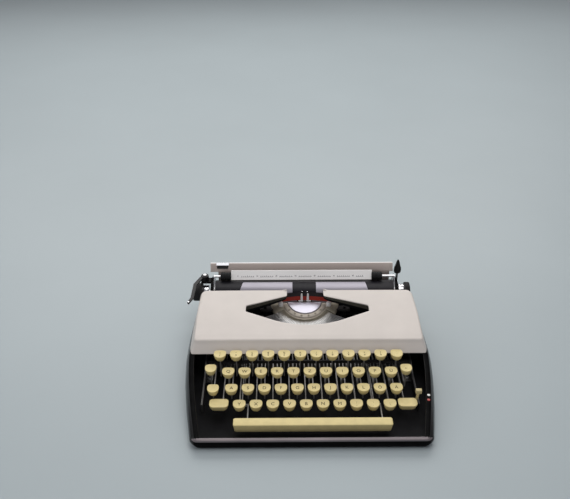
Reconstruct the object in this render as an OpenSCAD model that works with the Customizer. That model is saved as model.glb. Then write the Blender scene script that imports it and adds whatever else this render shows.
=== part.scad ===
// Portable typewriter with a moving carriage, four key rows and a lift-off top cover.
// The origin is the point on the table under the middle of the casing.
// +X is to the typist's right, +Y is away from the typist and +Z is up.
// Modules measure Y from the casing's front edge; placed() moves them to the origin.

/* [Casing] */
// Depth of the casing from its front edge to its rear wall
casing_d = 270; // [262:1:330]
// Distance from the outer key of the number row to the widest place of the casing
side_margin = 44; // [42:0.5:56]
// How much narrower each side is at the front edge than at the widest place
front_narrowing = 15.5; // [8:0.5:18]
// How much narrower each side is at the rear wall than at the widest place
rear_narrowing = 11; // [4:0.5:13]
// How far the rim stands in from the belly of the side walls
rim_inset = 5; // [3:0.5:6]
// Height of the rim at the front edge
rim_front_z = 13.4; // [12.5:0.1:15]
// Height of the rim under the cover
seam_z = 38.8; // [37:0.1:41]
// Height of the walls behind the cover, below the carriage
rear_wall_z = 21.5; // [18:0.1:21.5]
// Thickness of the casing's walls
casing_wall = 2.2; // [1.6:0.1:2.8]
// Thickness of the casing's floor
floor_t = 1.4; // [1:0.1:1.4]
// Width of the flat band of the rim
rim_band = 6; // [5:0.1:7]
// Height of the rubber feet
foot_h = 3; // [2.5:0.1:3]
// Radius of the rubber feet
foot_r = 8; // [6:0.5:10]

/* [Top cover] */
// Thickness of the top cover
cover_t = 1.6; // [1.2:0.1:2]
// Height of the crease between the chin and the top
crease_z = 54.3; // [53:0.1:56]
// Height of the cover's rear edge
cover_rear_z = 64.3; // [64:0.1:65]
// Distance from the chin's lower edge back to the crease
chin_run = 8; // [6:0.5:10]
// How much narrower each side is at the crease than at the chin
cover_taper = 5; // [4:0.5:7]
// Half width of the type basket opening
opening_half_w = 77.5; // [74:0.5:85]
// Half width of the notch at the printing point
notch_half_w = 23.5; // [20:0.5:26]

/* [Keys] */
// Distance between neighbouring keys in a row
key_pitch = 19.05; // [18.5:0.05:23]
// Distance of each row from the front edge, number row first
row_y = [103.3, 83.9, 65, 46.5]; // [40:0.1:110]
// Height of each row's key tops, number row first
row_z = [48.4, 38.7, 30.5, 23.4]; // [20:0.1:52]
// Sideways shift of each row's middle
row_shift = [-1.1, 0.05, 4.35, 4.5]; // [-6:0.05:6]
// Width of a round key top
cap_w = 14.7; // [12:0.1:15]
// Width of a key at its lower edge
cap_foot_w = 10.6; // [9:0.1:13]
// Depth of a key top, front to back
cap_d = 13.5; // [11:0.1:14]
// Height of a key
cap_h = 9; // [6.5:0.1:9]
// Travel of a key at its top
key_travel = 8.5; // [6:0.1:8.6]
// Length of the space bar
space_len = 177; // [150:1:185]

/* [Levers] */
// Thickness of the key levers
lever_t = 1.2; // [1:0.1:1.4]
// Height of a key lever's strip
lever_h = 4.4; // [3.5:0.1:4.6]
// Radius of the shaft that every lever turns on
shaft_r = 1.5; // [1.2:0.1:2]
// Running clearance round shafts and pins
run_gap = 0.08; // [0.05:0.01:0.1]
// Clearance between pieces that slide or seat on each other
slip = 0.1; // [0.1:0.05:0.3]

/* [Type basket] */
// Number of typebars
typebar_count = 44; // [30:2:44]
// Angle between neighbouring typebars
typebar_step = 2.6; // [2.5:0.05:2.7]
// Radius of the arc that the typebars turn on
pivot_arc_r = 36; // [35.5:0.5:38]
// Height of the middle of that arc, at the rear of the basket
basket_z = 42.3; // [42:0.1:43]
// Backward slope of the basket
basket_tilt = 14; // [12:0.5:15]
// Length of a typebar from its pivot to its end
typebar_len = 38.5; // [34:0.5:38.5]
// Sideways place of the basket and printing point
basket_x = -2; // [-3:0.5:3]
// Drop of the basket when a shift key is pressed
shift_drop = 6.5; // [5:0.1:6.5]
// Radius of the ribbon spools
spool_r = 21.5; // [18:0.5:21.5]
// Height of the ribbon
ribbon_h = 13; // [12:0.1:13]

/* [Carriage] */
// Length of the rubber roller
platen_len = 236; // [220:1:240]
// Radius of the rubber roller
platen_r = 15.5; // [14:0.1:15.5]
// Radius of the platen's axle
axle_r = 4; // [3:0.1:5]
// Radius of the platen knobs
knob_r = 12; // [11:0.1:12]
// Thickness of the carriage's end plates
end_plate_t = 3.7; // [3:0.1:3.7]
// Radius of the small rollers on the paper bail
bail_roller_r = 5.5; // [5:0.1:5.5]
// Number of teeth of the escapement's pinion
pinion_teeth = 12; // [10:1:12]
// Tooth size of rack and pinion, pitch diameter over teeth
tooth_module = 1; // [0.9:0.05:1]

/* [Hidden] */
$fn = 48;
LETTER_ROWS = ["qwertzuiop", "asdfghjkl", "yxcvbnm"];
LETTERS = [for (row = LETTER_ROWS) for (c = row) c];
eps = 0.01;

// Widths and heights that several pieces share
row_count = [12, 11, 11, 10];
number_row_half_w = (row_count[0] - 1) / 2 * key_pitch;
belly_half_w = number_row_half_w + side_margin;
rim_half_w = belly_half_w - rim_inset;
floor_z = foot_h + floor_t;
chin_y = row_y[0] + 9.9;
widest_y = chin_y + 12;
platen_y = casing_d - 40;
platen_z = 47;
cover_rear_y = platen_y - 22.3;
shaft_y = platen_y - 15;
shaft_z = 11;
lever_end_z = floor_z + key_travel + 0.4 + lever_h / 2;
frame_half_w = belly_half_w - 24;
plate_t = 2;
flange_w = 8.4;
flange_x = frame_half_w + 1 - flange_w / 2;
hub_r = 3.2;
bore_r = shaft_r + run_gap;

// Colours as the photograph shows them
casing_black = "#1b1a1d";
cover_grey = "#d5cdc2";
key_cream = "#e0d193";
steel = "#b9bcc0";
dark_steel = "#56585c";
rubber_black = "#222224";

// Turns an outline drawn in Y and Z into a plate of thickness t round plane x
module plate_x(x, t) {
    translate([x - t / 2, 0, 0])
        rotate([90, 0, 90])
            linear_extrude(t)
                children();
}

// Turns an outline drawn in X and Z into a plate of thickness t round plane y
module plate_y(y, t) {
    translate([0, y + t / 2, 0])
        rotate([90, 0, 0])
            linear_extrude(t)
                children();
}

// A round bar along X from x0 to x1
module rod_x(x0, x1, y, z, r) {
    translate([x0, y, z])
        rotate([0, 90, 0])
            cylinder(h = x1 - x0, r = r);
}

// A round bar along Y from y0 to y1
module rod_y(y0, y1, x, z, r) {
    translate([x, y1, z])
        rotate([90, 0, 0])
            cylinder(h = y1 - y0, r = r);
}

// A block between two corners
module block(low, high) {
    translate(low)
        cube(high - low);
}

// Moves a piece from the front edge's Y to the origin
module placed() {
    translate([0, -casing_d / 2, 0])
        children();
}

// A solid whose sections are closed outlines with equal numbers of points
module loft(rings) {
    count = len(rings[0]);
    last = len(rings) - 1;
    sides = [for (i = [0:last - 1]) for (k = [0:count - 1])
        let (a = i * count + k, b = i * count + (k + 1) % count)
        [a, b, b + count, a + count]];
    first_end = [for (k = [0:count - 1]) count - 1 - k];
    last_end = [for (k = [0:count - 1]) last * count + k];
    polyhedron([for (ring = rings) each ring], concat(sides, [first_end, last_end]));
}

// Mirrors the right half of an outline in X, and gives each point its Y
function both_sides(half, y) = concat(
    [for (p = half) [p[0], y, p[1]]],
    [for (i = [len(half) - 1:-1:0]) [-half[i][0], y, half[i][1]]]);

/* Casing */

// Half width of the belly at a distance from the front edge
function belly_at(y) = y < widest_y
    ? belly_half_w - front_narrowing * (1 - sin(90 * y / widest_y))
    : belly_half_w - rear_narrowing * (1 - cos(90 * (y - widest_y) / (casing_d - widest_y)));

// Height of the rim at a distance from the front edge
function rim_at(y) = y < chin_y ? rim_front_z + (seam_z - rim_front_z) * y / chin_y : seam_z;

// Right half of the casing's section, drawn in by inset and cut off at height top
function casing_half(y, inset, low, top) =
    let (w = belly_at(y) - inset)
    [[w - 5, low], [w - 1, low + 5], [w, (low + top) / 2], [w - rim_inset + 1, top - 1.5],
     [w - rim_inset, top]];

STATIONS = [0, 0.04, 0.12, 0.24, 0.36, 0.42, 0.5, 0.64, 0.78, 0.9, 1];

module casing_loft(inset, low, lift, front, rear) {
    loft([for (s = STATIONS)
        let (y = front + s * (rear - front))
        both_sides(casing_half(y, inset, low, rim_at(y) + lift), y)]);
}

module base_casing() {
    color(casing_black)
        difference() {
            casing_loft(0, foot_h, 0, 0, casing_d);
            // the hollow under the rim
            casing_loft(casing_wall, floor_z, -casing_wall, casing_wall, casing_d - casing_wall);
            // the keyboard well between the rim's bands
            loft([for (s = STATIONS)
                let (y = rim_band + s * (casing_d - 2 * rim_band), w = belly_at(y) - rim_inset - rim_band)
                both_sides([[w, floor_z + 6], [w, seam_z + 5]], y)]);
            // everything above the low rear walls, where the carriage runs
            block([-belly_half_w - 5, cover_rear_y + 1.3, rear_wall_z],
                  [belly_half_w + 5, casing_d + 5, seam_z + 5]);
        }
}

function foot_places() = [for (side = [-1, 1]) for (y = [22, casing_d - 22])
    [side * (belly_half_w - 29), y]];

module rubber_feet() {
    color(rubber_black)
        for (p = foot_places())
            translate([p[0], p[1], 0])
                cylinder(h = foot_h, r = foot_r);
}

module case_screws() {
    // the screws that are seen in the corners of the keyboard well, and two behind them
    color(steel)
        for (side = [-1, 1])
            for (y = [chin_y - 7, chin_y + 60])
                translate([side * (flange_x - 1.3), y, floor_z + plate_t])
                    cylinder(h = 1.6, r = 3);
}

/* Fixed frame */

spool_x = 101;
spool_y = platen_y - 54;
spool_floor_z = 36;
spool_post_r = 2.5;
bridge_low_z = 17.5;
bridge_top_z = 21.5;
guide_post_x = 52;
guide_post_y = shaft_y - 11;
guide_post_r = 2;
guide_post_h = 18 + shift_drop;
drum_x = -105;
drum_y = platen_y + 6;
drum_post_r = 2;
side_plate_z = 24;
bridge_y0 = shaft_y + 2;
bridge_y1 = shaft_y + 8;
bridge_half_w = frame_half_w - plate_t / 2 - slip;
spool_plate_t = 1.2;
bracket_wall = 2;
bracket_x = bridge_half_w - bracket_wall / 2;
selector_y = 60;
selector_z = 12;
pin_r = 1.5;

module main_frame() {
    color(dark_steel) {
        for (side = [-1, 1]) {
            // side plate with the foot flange that the screws hold and the bore of the shaft
            difference() {
                union() {
                    plate_x(side * frame_half_w, plate_t)
                        polygon([[selector_y - 8, floor_z], [selector_y - 8, selector_z + 4],
                                 [chin_y - 12, selector_z + 6], [chin_y + 4, side_plate_z],
                                 [bridge_y1 + 2, side_plate_z], [bridge_y1 + 2, floor_z]]);
                    block([side * flange_x - flange_w / 2, chin_y - 14, floor_z],
                          [side * flange_x + flange_w / 2, chin_y + 66, floor_z + plate_t]);
                }
                rod_x(side * frame_half_w - plate_t, side * frame_half_w + plate_t, shaft_y, shaft_z, bore_r);
            }
            // angle bracket inside the side plate, with the plate and post of one ribbon spool
            block([side * bracket_x - bracket_wall / 2, spool_y - 6, side_plate_z - 10],
                  [side * bracket_x + bracket_wall / 2, spool_y + 6, spool_floor_z + spool_plate_t]);
            block([min(side * spool_x, side * bracket_x), spool_y - 5, spool_floor_z],
                  [max(side * spool_x, side * bracket_x), spool_y + 5, spool_floor_z + spool_plate_t]);
            translate([side * spool_x, spool_y, spool_floor_z]) {
                cylinder(h = spool_plate_t, r = spool_r - 1.5);
                cylinder(h = 20, r = spool_post_r);
            }
            // arm and post that the basket slides on
            block([basket_x + side * guide_post_x - 3, guide_post_y - 4, bridge_low_z],
                  [basket_x + side * guide_post_x + 3, bridge_y1, bridge_top_z]);
            translate([basket_x + side * guide_post_x, guide_post_y, bridge_low_z])
                cylinder(h = guide_post_h, r = guide_post_r);
        }
        // shaft of the levers, through both side plates
        rod_x(-frame_half_w - plate_t / 2, frame_half_w + plate_t / 2, shaft_y, shaft_z, shaft_r);
        // bridge under the platen
        block([-bridge_half_w, bridge_y0, bridge_low_z], [bridge_half_w, bridge_y1, bridge_top_z]);
        // post of the mainspring drum
        translate([drum_x, drum_y, floor_z]) {
            cylinder(h = 2.3, r = 5);
            cylinder(h = 12.6, r = drum_post_r);
        }
        // pin of the ribbon selector
        rod_x(frame_half_w - 7, frame_half_w, selector_y, selector_z, pin_r);
    }
}

comb_y = chin_y + 5;
comb_bar_z = 20;

// X of every lever that the comb guides
function row_x(row, i) = row_shift[row] + (i - (row_count[row] - 1) / 2) * key_pitch;
margin_x = row_x(1, 0) - 20.8;
lock_x = row_x(1, 0) - 16.8;
left_shift_x = row_x(1, 0) - 5.3;
right_shift_x = row_x(0, 11) + 4.4;
back_x = row_x(0, 11) + 9.1;
left_space_x = (row_x(1, 1) + row_x(3, 0)) / 2;
right_space_x = (row_x(1, 9) + row_x(3, 8)) / 2;
LEVER_XS = concat([for (row = [0:3]) for (i = [0:row_count[row] - 1]) row_x(row, i)],
                  [margin_x, lock_x, left_shift_x, right_shift_x, back_x, left_space_x, right_space_x]);

module key_comb() {
    color(dark_steel)
        difference() {
            block([-frame_half_w + plate_t / 2, comb_y - 1, floor_z + plate_t],
                  [frame_half_w - plate_t / 2, comb_y + 1, comb_bar_z + 4]);
            for (x = LEVER_XS)
                block([x - lever_t / 2 - 0.35, comb_y - 2, floor_z],
                      [x + lever_t / 2 + 0.35, comb_y + 2, comb_bar_z]);
        }
}

guide_y = platen_y - 16.7;

module type_guide() {
    color(steel) {
        // the plate that stands on the bridge, with its two prongs beside the printing point
        block([basket_x - 10, guide_y - 0.5, bridge_low_z], [basket_x + 10, guide_y + 0.5, 44]);
        block([basket_x - 10, guide_y, bridge_low_z], [basket_x + 10, bridge_y0, bridge_top_z]);
        for (side = [-1, 1])
            block([basket_x + side * 3.4 - 1, guide_y - 0.5, 44 - eps],
                  [basket_x + side * 3.4 + 1, guide_y + 0.5, 59]);
    }
}

guide_in_r = platen_r + 0.8;
guide_out_r = platen_r + 1.6;

// One bright strip that holds a card against the roller
module card_strip(x0, x1, foot_x0, foot_x1) {
    intersection() {
        difference() {
            rod_x(x0, x1, platen_y, platen_z, guide_out_r);
            rod_x(x0 - 1, x1 + 1, platen_y, platen_z, guide_in_r);
        }
        block([x0 - 1, platen_y - guide_out_r - 1, platen_z - eps],
              [x1 + 1, platen_y - 4, platen_z + guide_out_r + 1]);
    }
    block([foot_x0, platen_y - guide_out_r, 40], [foot_x1, platen_y - guide_in_r, platen_z]);
}

module card_guide() {
    color(steel) {
        card_strip(basket_x - 85, basket_x - 16, basket_x - 85, basket_x - 10 - slip);
        card_strip(basket_x + 15, basket_x + 85, basket_x + 10 + slip, basket_x + 85);
    }
}

rail_y0 = platen_y + 22;
rail_y1 = platen_y + 32;
rail_z0 = 17;
rail_z1 = 26;
pinion_r = pinion_teeth * tooth_module / 2;
pinion_y0 = platen_y + 14;
pinion_y1 = platen_y + 20;
rack_pitch_z = 24;
pinion_z = rack_pitch_z - pinion_r;

rail_foot_x = 100;

module carriage_rail() {
    color(steel)
        difference() {
            union() {
                block([-frame_half_w, rail_y0, rail_z0], [frame_half_w, rail_y1, rail_z1]);
                for (side = [-1, 0, 1])
                    block([side * rail_foot_x - 6, rail_y0 + 2, floor_z],
                          [side * rail_foot_x + 6, rail_y1 - 2, rail_z0 + eps]);
            }
            rod_y(rail_y0 - 1, rail_y1 + 1, 0, pinion_z, pin_r + run_gap);
        }
}

/* Cover */

// Right half of the cover's section; the foot runs down to the seam
function cover_half(half_w, top_z, y, inset, chin) =
    [[half_w - inset, y, seam_z + 0.2 - (inset > 0 ? 1 : 0)],
     [half_w - cover_taper - inset + 0.8, y + chin * 0.93, top_z - inset - 1.6],
     [half_w - cover_taper - inset - 0.8, y + chin, top_z - inset]];

function cover_ring(half_w, top_z, y, inset, chin) =
    let (half = cover_half(half_w, top_z, y, inset, chin))
    concat(half, [for (i = [2:-1:0]) [-half[i][0], half[i][1], half[i][2]]]);

// The closed form of the cover, drawn in by inset and running to rear_y
module cover_form(inset, rear_y) {
    top_y = chin_y + chin_run + 40;
    top_z = crease_z + (cover_rear_z - crease_z) * 0.55;
    loft([
        cover_ring(rim_half_w, crease_z, chin_y + inset * 1.1, inset, chin_run),
        cover_ring(rim_half_w, crease_z + 0.9, chin_y + inset * 1.1 + 2, inset, chin_run),
        cover_ring(rim_half_w, top_z, top_y, inset, 0),
        cover_ring(rim_half_w - 2, cover_rear_z, rear_y, inset, 0)]);
}

basket_y = platen_y - 15;

// Outline of the opening over the type basket, with the notch to the rear edge
module opening_outline() {
    front = [for (a = [0:15:180])
        [opening_half_w * cos(a), basket_y - 45 - 22.5 * sin(a)]];
    polygon(concat(
        front,
        [[-opening_half_w, basket_y - 33], [basket_x - notch_half_w, basket_y - 19],
         [basket_x - notch_half_w, basket_y + 5], [basket_x + notch_half_w, basket_y + 5],
         [basket_x + notch_half_w, basket_y - 19], [opening_half_w, basket_y - 33]]));
}

module top_cover() {
    color(cover_grey)
        difference() {
            cover_form(0, cover_rear_y);
            cover_form(cover_t, cover_rear_y + 1);
            translate([0, 0, seam_z + 8])
                linear_extrude(40)
                    opening_outline();
        }
}

/* Type basket */

slot_w = 1.4;
bar_t = 1;
wire_r = 0.6;
bar_hub_r = 2.1;
rim_r = 45;
ring_r = 30;
slot_in_r = 27;
disc_r = 21.5;
basket_low = -4;
ring_top = 2;
rear_cut = -5;

function bar_angle(i) = (i - typebar_count / 2) * typebar_step;

// Places what is drawn round the origin in the sloping plane of the basket
module in_basket() {
    translate([basket_x, basket_y, basket_z])
        rotate([basket_tilt, 0, 0])
            children();
}

// Places a piece drawn towards the typist on the line of one typebar
module on_bar(i) {
    in_basket()
        rotate([0, 0, bar_angle(i)])
            children();
}

module segment() {
    color(steel) {
        difference() {
            union() {
                in_basket()
                    difference() {
                        union() {
                            // base plate, polished disc, then the ring and the slotted rim
                            translate([0, 0, basket_low])
                                cylinder(h = 2.2, r = rim_r);
                            translate([0, 0, basket_low])
                                cylinder(h = ring_top - basket_low + 1, r = disc_r);
                            rotate_extrude()
                                polygon([[disc_r + 1, basket_low], [rim_r, basket_low], [rim_r, 0.8],
                                         [rim_r - 3, 2.2], [ring_r + 1, 2.6], [ring_r, ring_top],
                                         [disc_r + 1, ring_top]]);
                        }
                        block([-70, rear_cut, basket_low - 9], [70, 60, basket_low + 22]);
                    }
                // lugs that slide on the guide posts
                for (side = [-1, 1])
                    block([basket_x + side * 48 - 11, guide_post_y - 5, basket_z - 6],
                          [basket_x + side * 48 + 11, guide_post_y + 4, basket_z - 2.5]);
            }
            for (side = [-1, 1])
                translate([basket_x + side * guide_post_x, guide_post_y, basket_z - 12])
                    cylinder(h = 24, r = guide_post_r + run_gap);
            // groove of the wire
            in_basket()
                rotate_extrude()
                    translate([pivot_arc_r, 0])
                        circle(r = wire_r + run_gap);
            for (i = [0:typebar_count - 1])
                on_bar(i)
                    block([-slot_w / 2, -rim_r - 1, -bar_hub_r - 0.5], [slot_w / 2, -slot_in_r, 9]);
        }
        // heads of the ring's screws
        for (a = [-50:20:50])
            in_basket()
                rotate([0, 0, a])
                    translate([0, -(disc_r + 1 + ring_r) / 2, ring_top + slip])
                        cylinder(h = 0.8, r = 1.6);
    }
}

// One typebar in its slot, from its pivot to its type head; the middle one lies level
module typebar(i) {
    on_bar(i)
        translate([0, -pivot_arc_r, 0])
            rotate([-basket_tilt, 0, 0]) {
                plate_x(0, bar_t)
                    difference() {
                        union() {
                            circle(r = bar_hub_r);
                            polygon([[0, -1.5], [0, 1.5], [-typebar_len, 1], [-typebar_len, -1]]);
                        }
                        circle(r = wire_r + run_gap);
                    }
                block([-1.3, -typebar_len, -1.5], [1.3, -typebar_len + 4, 4.5]);
            }
}

middle_bar = typebar_count / 2;

module typebars() {
    color(steel) {
        for (i = [0:typebar_count - 1])
            if (i != middle_bar)
                typebar(i);
        // the wire that all the bars turn on
        in_basket()
            rotate([0, 0, -90 + bar_angle(0) - 1.5])
                rotate_extrude(angle = bar_angle(typebar_count - 1) - bar_angle(0) + 3)
                    translate([pivot_arc_r, 0])
                        circle(r = wire_r, $fn = 16);
    }
}

module typebar_h() {
    color(steel)
        typebar(middle_bar);
}

ribbon_low_z = 39.2;
ribbon_rise = 7.3;
ribbon_y = platen_y - 19.3;
ribbon_t = 0.4;

// The right half of the ribbon's way, from the printing point to its spool
RIBBON_WAY = [[9, ribbon_y, ribbon_rise], [30, ribbon_y - 3, ribbon_rise],
              [spool_x - spool_r - 2, spool_y + 22.5, 0], [spool_x, spool_y + 18.05, 0]];

module ribbon() {
    left_half = [for (i = [len(RIBBON_WAY) - 1:-1:0])
        [-RIBBON_WAY[i][0], RIBBON_WAY[i][1], RIBBON_WAY[i][2]]];
    way = concat(left_half, RIBBON_WAY);
    color("#8c1f1a")
        loft([for (p = way)
            let (x = p[0] + (abs(p[0]) < spool_x ? basket_x : 0), z = ribbon_low_z + p[2])
            [[x, p[1], z], [x, p[1], z + ribbon_h],
             [x, p[1] + ribbon_t, z + ribbon_h], [x, p[1] + ribbon_t, z]]]);
}

vibrator_y = guide_y - 1.3;
vibrator_t = 0.8;
prong_y = ribbon_y - 0.7;
prong_top_z = 58;
prong_shelf_z = ribbon_low_z + ribbon_rise - 1.3;

// A plate behind the ribbon and two prongs in front of it, open in the middle for the type heads
module ribbon_vibrator() {
    color(steel)
        translate([basket_x, 0, 0]) {
            plate_y(vibrator_y, vibrator_t)
                polygon([[-8, 28], [8, 28], [8, prong_top_z], [5.6, prong_top_z], [5.6, 36],
                         [-5.6, 36], [-5.6, prong_top_z], [-8, prong_top_z]]);
            for (side = [-1, 1])
                mirror([side < 0 ? 1 : 0, 0, 0]) {
                    plate_y(prong_y, vibrator_t)
                        polygon([[2.4, prong_shelf_z], [8, prong_shelf_z], [8, prong_shelf_z + 1.1],
                                 [5.5, prong_shelf_z + 1.1], [5.2, prong_top_z], [3, prong_top_z]]);
                    block([2.4, prong_y, prong_shelf_z], [8, vibrator_y, prong_shelf_z + 1.1]);
                }
        }
}

// A flanged spool with ribbon wound on it
module spool(x) {
    translate([x, spool_y, spool_floor_z + spool_plate_t + slip])
        difference() {
            union() {
                cylinder(h = 1, r = spool_r);
                cylinder(h = 16, r = 17.5);
                translate([0, 0, 15.4])
                    cylinder(h = 1, r = spool_r);
                cylinder(h = 17.6, r = 6);
            }
            translate([0, 0, -1])
                cylinder(h = 22, r = spool_post_r + run_gap);
            for (a = [0:120:240])
                rotate([0, 0, a])
                    translate([12.5, 0, 15.9])
                        cylinder(h = 2, r = 2.2);
        }
}

module left_spool() {
    color(dark_steel)
        spool(-spool_x);
}

module right_spool() {
    color(dark_steel)
        spool(spool_x);
}

/* Carriage */

platen_x0 = basket_x - platen_len / 2;
platen_x1 = basket_x + platen_len / 2;
plate_gap = 2.2;
press_gap = 0.05;
left_plate_x = platen_x0 - plate_gap - end_plate_t / 2;
right_plate_x = platen_x1 + plate_gap + end_plate_t / 2;
beam_z0 = rail_z1 + 0.3;
beam_z1 = beam_z0 + 4.7;
feed_r = 4;
feed_y = platen_y + 6;
feed_z = platen_z - sqrt(pow(platen_r + feed_r + 0.05, 2) - pow(feed_y - platen_y, 2));
bail_pivot_y = platen_y - 8;
bail_pivot_z = platen_z + 4;
release_y = platen_y + 16;
release_z = 50;
return_x = left_plate_x - 9.9;
return_y = platen_y + 6;
bracket_z = platen_z + knob_r + 0.6;
bracket_t = 2.8;
return_post_r = 2.5;

// Outline of an end plate in Y and Z: round in front, with an ear up and a foot to the rear
module end_plate_outline(top_z) {
    difference() {
        union() {
            translate([platen_y, platen_z])
                circle(r = platen_r - 0.3);
            polygon([[platen_y - 8, platen_z - 12], [feed_y - 5, feed_z - 3.6], [feed_y + 4, feed_z - 3.6],
                     [feed_y + 4.5, beam_z0], [platen_y + 36, beam_z0], [platen_y + 36, beam_z1 + 4],
                     [release_y + 7, release_z + 6], [platen_y + 11, top_z], [platen_y + 1, top_z]]);
        }
        translate([platen_y, platen_z])
            circle(r = axle_r + run_gap);
        translate([feed_y, feed_z])
            circle(r = pin_r + run_gap);
        translate([bail_pivot_y, bail_pivot_z])
            circle(r = pin_r + run_gap);
    }
}

// A rack tooth's four corners in X and Z, hanging from the beam
function rack_tooth(k) =
    let (x = k * PI * tooth_module, m = tooth_module)
    [[x - 1.1 * m, rack_pitch_z + 1.2 * m], [x - 0.42 * m, rack_pitch_z - 0.9 * m],
     [x + 0.42 * m, rack_pitch_z - 0.9 * m], [x + 1.1 * m, rack_pitch_z + 1.2 * m]];

rack_reach = floor((platen_len / 2 - 2) / (PI * tooth_module));

module carriage_frame() {
    color(casing_black) {
        plate_x(left_plate_x, end_plate_t)
            end_plate_outline(bracket_z + bracket_t);
        plate_x(right_plate_x, end_plate_t)
            end_plate_outline(platen_z + 14);
        block([left_plate_x, platen_y + 12, beam_z0], [right_plate_x, platen_y + 36, beam_z1]);
        // flange that runs behind the rail
        block([left_plate_x, rail_y1 + 0.3, rear_wall_z + 0.5],
              [right_plate_x, rail_y1 + 2.6, beam_z0 + eps]);
        // shelf and post of the return lever
        block([return_x - 5, return_y - 5, bracket_z],
              [left_plate_x, return_y + 5, bracket_z + bracket_t]);
        translate([return_x, return_y, bracket_z])
            cylinder(h = bracket_t + 8.6, r = return_post_r);
        // pin of the paper release lever
        rod_x(right_plate_x, right_plate_x + end_plate_t / 2 + 2.8, release_y, release_z, pin_r);
        plate_y(pinion_y0 + (pinion_y1 - pinion_y0) / 2, pinion_y1 - pinion_y0)
            polygon(concat(
                [[-(rack_reach + 0.5) * PI * tooth_module, beam_z0 + eps],
                 [-(rack_reach + 0.5) * PI * tooth_module, rack_pitch_z + 1.2 * tooth_module]],
                [for (k = [-rack_reach:rack_reach]) each rack_tooth(k)],
                [[(rack_reach + 0.5) * PI * tooth_module, rack_pitch_z + 1.2 * tooth_module],
                 [(rack_reach + 0.5) * PI * tooth_module, beam_z0 + eps]]));
    }
}

module platen() {
    color(rubber_black)
        difference() {
            rod_x(platen_x0, platen_x1, platen_y, platen_z, platen_r);
            rod_x(platen_x0 - 1, platen_x1 + 1, platen_y, platen_z, axle_r + press_gap);
        }
    color(steel)
        rod_x(left_plate_x - 21, right_plate_x + 15, platen_y, platen_z, axle_r);
}

knob_ring_len = 8;
knob_ring_r = 9.5;
left_knob_len = 21;
right_knob_len = 15;
knob_end_t = 2;

// A knob with its bright ring, len long; the ring starts at x and the knob lies outside it
module knob(x, side, len) {
    translate([x, 0, 0])
        mirror([side < 0 ? 1 : 0, 0, 0])
            difference() {
                union() {
                    rod_x(0, knob_ring_len, platen_y, platen_z, knob_ring_r);
                    rod_x(knob_ring_len, len, platen_y, platen_z, knob_r);
                }
                rod_x(-1, len - knob_end_t, platen_y, platen_z, axle_r + press_gap);
            }
}

module platen_knobs() {
    color(casing_black) {
        knob(left_plate_x - end_plate_t / 2 - 3, -1, left_knob_len);
        knob(right_plate_x + end_plate_t / 2 + 1.3, 1, right_knob_len);
    }
}

module feed_rollers() {
    color(rubber_black) {
        rod_x(left_plate_x - end_plate_t / 2, right_plate_x + end_plate_t / 2, feed_y, feed_z, pin_r);
        for (x = [-80, 0, 80])
            rod_x(basket_x + x - 32, basket_x + x + 32, feed_y, feed_z, feed_r);
    }
}

// The table stands between the end plates; above them its wings reach further out
wing_x0 = platen_x0 - 8;
wing_x1 = platen_x1 + 2;
wing_z = platen_z + 18;

module table_profile() {
    polygon([[platen_y + 22, beam_z1 + slip], [platen_y + 20.5, platen_z],
             [platen_y + 20.3, platen_z + 15], [platen_y + 21.5, platen_z + 20],
             [platen_y + 28, platen_z + 27.5], [platen_y + 29.4, platen_z + 26.8],
             [platen_y + 23, platen_z + 19.3], [platen_y + 21.9, platen_z + 14.8],
             [platen_y + 22.1, platen_z], [platen_y + 23.6, beam_z1 + slip]]);
}

module paper_table() {
    color("#a79b95") {
        plate_x((platen_x0 + platen_x1) / 2, platen_len - 5)
            table_profile();
        intersection() {
            plate_x((wing_x0 + wing_x1) / 2, wing_x1 - wing_x0)
                table_profile();
            block([wing_x0, platen_y, wing_z], [wing_x1, platen_y + 40, wing_z + 20]);
        }
    }
    // the sliding paper guide on the table's upper edge
    color(steel)
        translate([0, 0, 0.2])
            plate_x(platen_x0 + 11, 16)
                polygon([[platen_y + 25.6, platen_z + 25.2], [platen_y + 27.6, platen_z + 27.6],
                         [platen_y + 27.4, platen_z + 28.6], [platen_y + 24.6, platen_z + 25.4]]);
}

bail_y = platen_y + 5.5;
bail_z = platen_z + 21;
bail_rod_r = 1.5;
bail_arm_t = 1;
bail_arm_gap = 0.6;

module paper_bail() {
    color(steel) {
        rod_x(platen_x0 - bail_arm_gap - bail_arm_t, platen_x1 + bail_arm_gap + bail_arm_t,
              bail_y, bail_z, bail_rod_r);
        // two arms that the rod is pressed into
        for (x = [platen_x0 - bail_arm_gap - bail_arm_t / 2, platen_x1 + bail_arm_gap + bail_arm_t / 2])
            plate_x(x, bail_arm_t)
                difference() {
                    polygon([[bail_pivot_y - 3, bail_pivot_z], [bail_y - 3, bail_z + 2.5],
                             [bail_y + 3, bail_z + 2.5], [bail_pivot_y + 3, bail_pivot_z - 2],
                             [bail_pivot_y - 1, bail_pivot_z - 3]]);
                    translate([bail_y, bail_z])
                        circle(r = bail_rod_r + press_gap);
                }
        // pivot pins in the end plates
        rod_x(left_plate_x - end_plate_t / 2, platen_x0 - bail_arm_gap - eps,
              bail_pivot_y, bail_pivot_z, pin_r);
        rod_x(platen_x1 + bail_arm_gap + eps, right_plate_x + end_plate_t / 2,
              bail_pivot_y, bail_pivot_z, pin_r);
        // scale between the two rollers
        block([platen_x0 + 24, bail_y - 1.9, bail_z - 5], [platen_x1 - 33, bail_y - 1, bail_z + 5]);
    }
}

module bail_rollers() {
    color(rubber_black)
        for (x = [platen_x0 + 7, platen_x1 - 29])
            difference() {
                rod_x(x, x + 14, bail_y, bail_z, bail_roller_r);
                rod_x(x - 1, x + 15, bail_y, bail_z, bail_rod_r + run_gap);
            }
}

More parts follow.
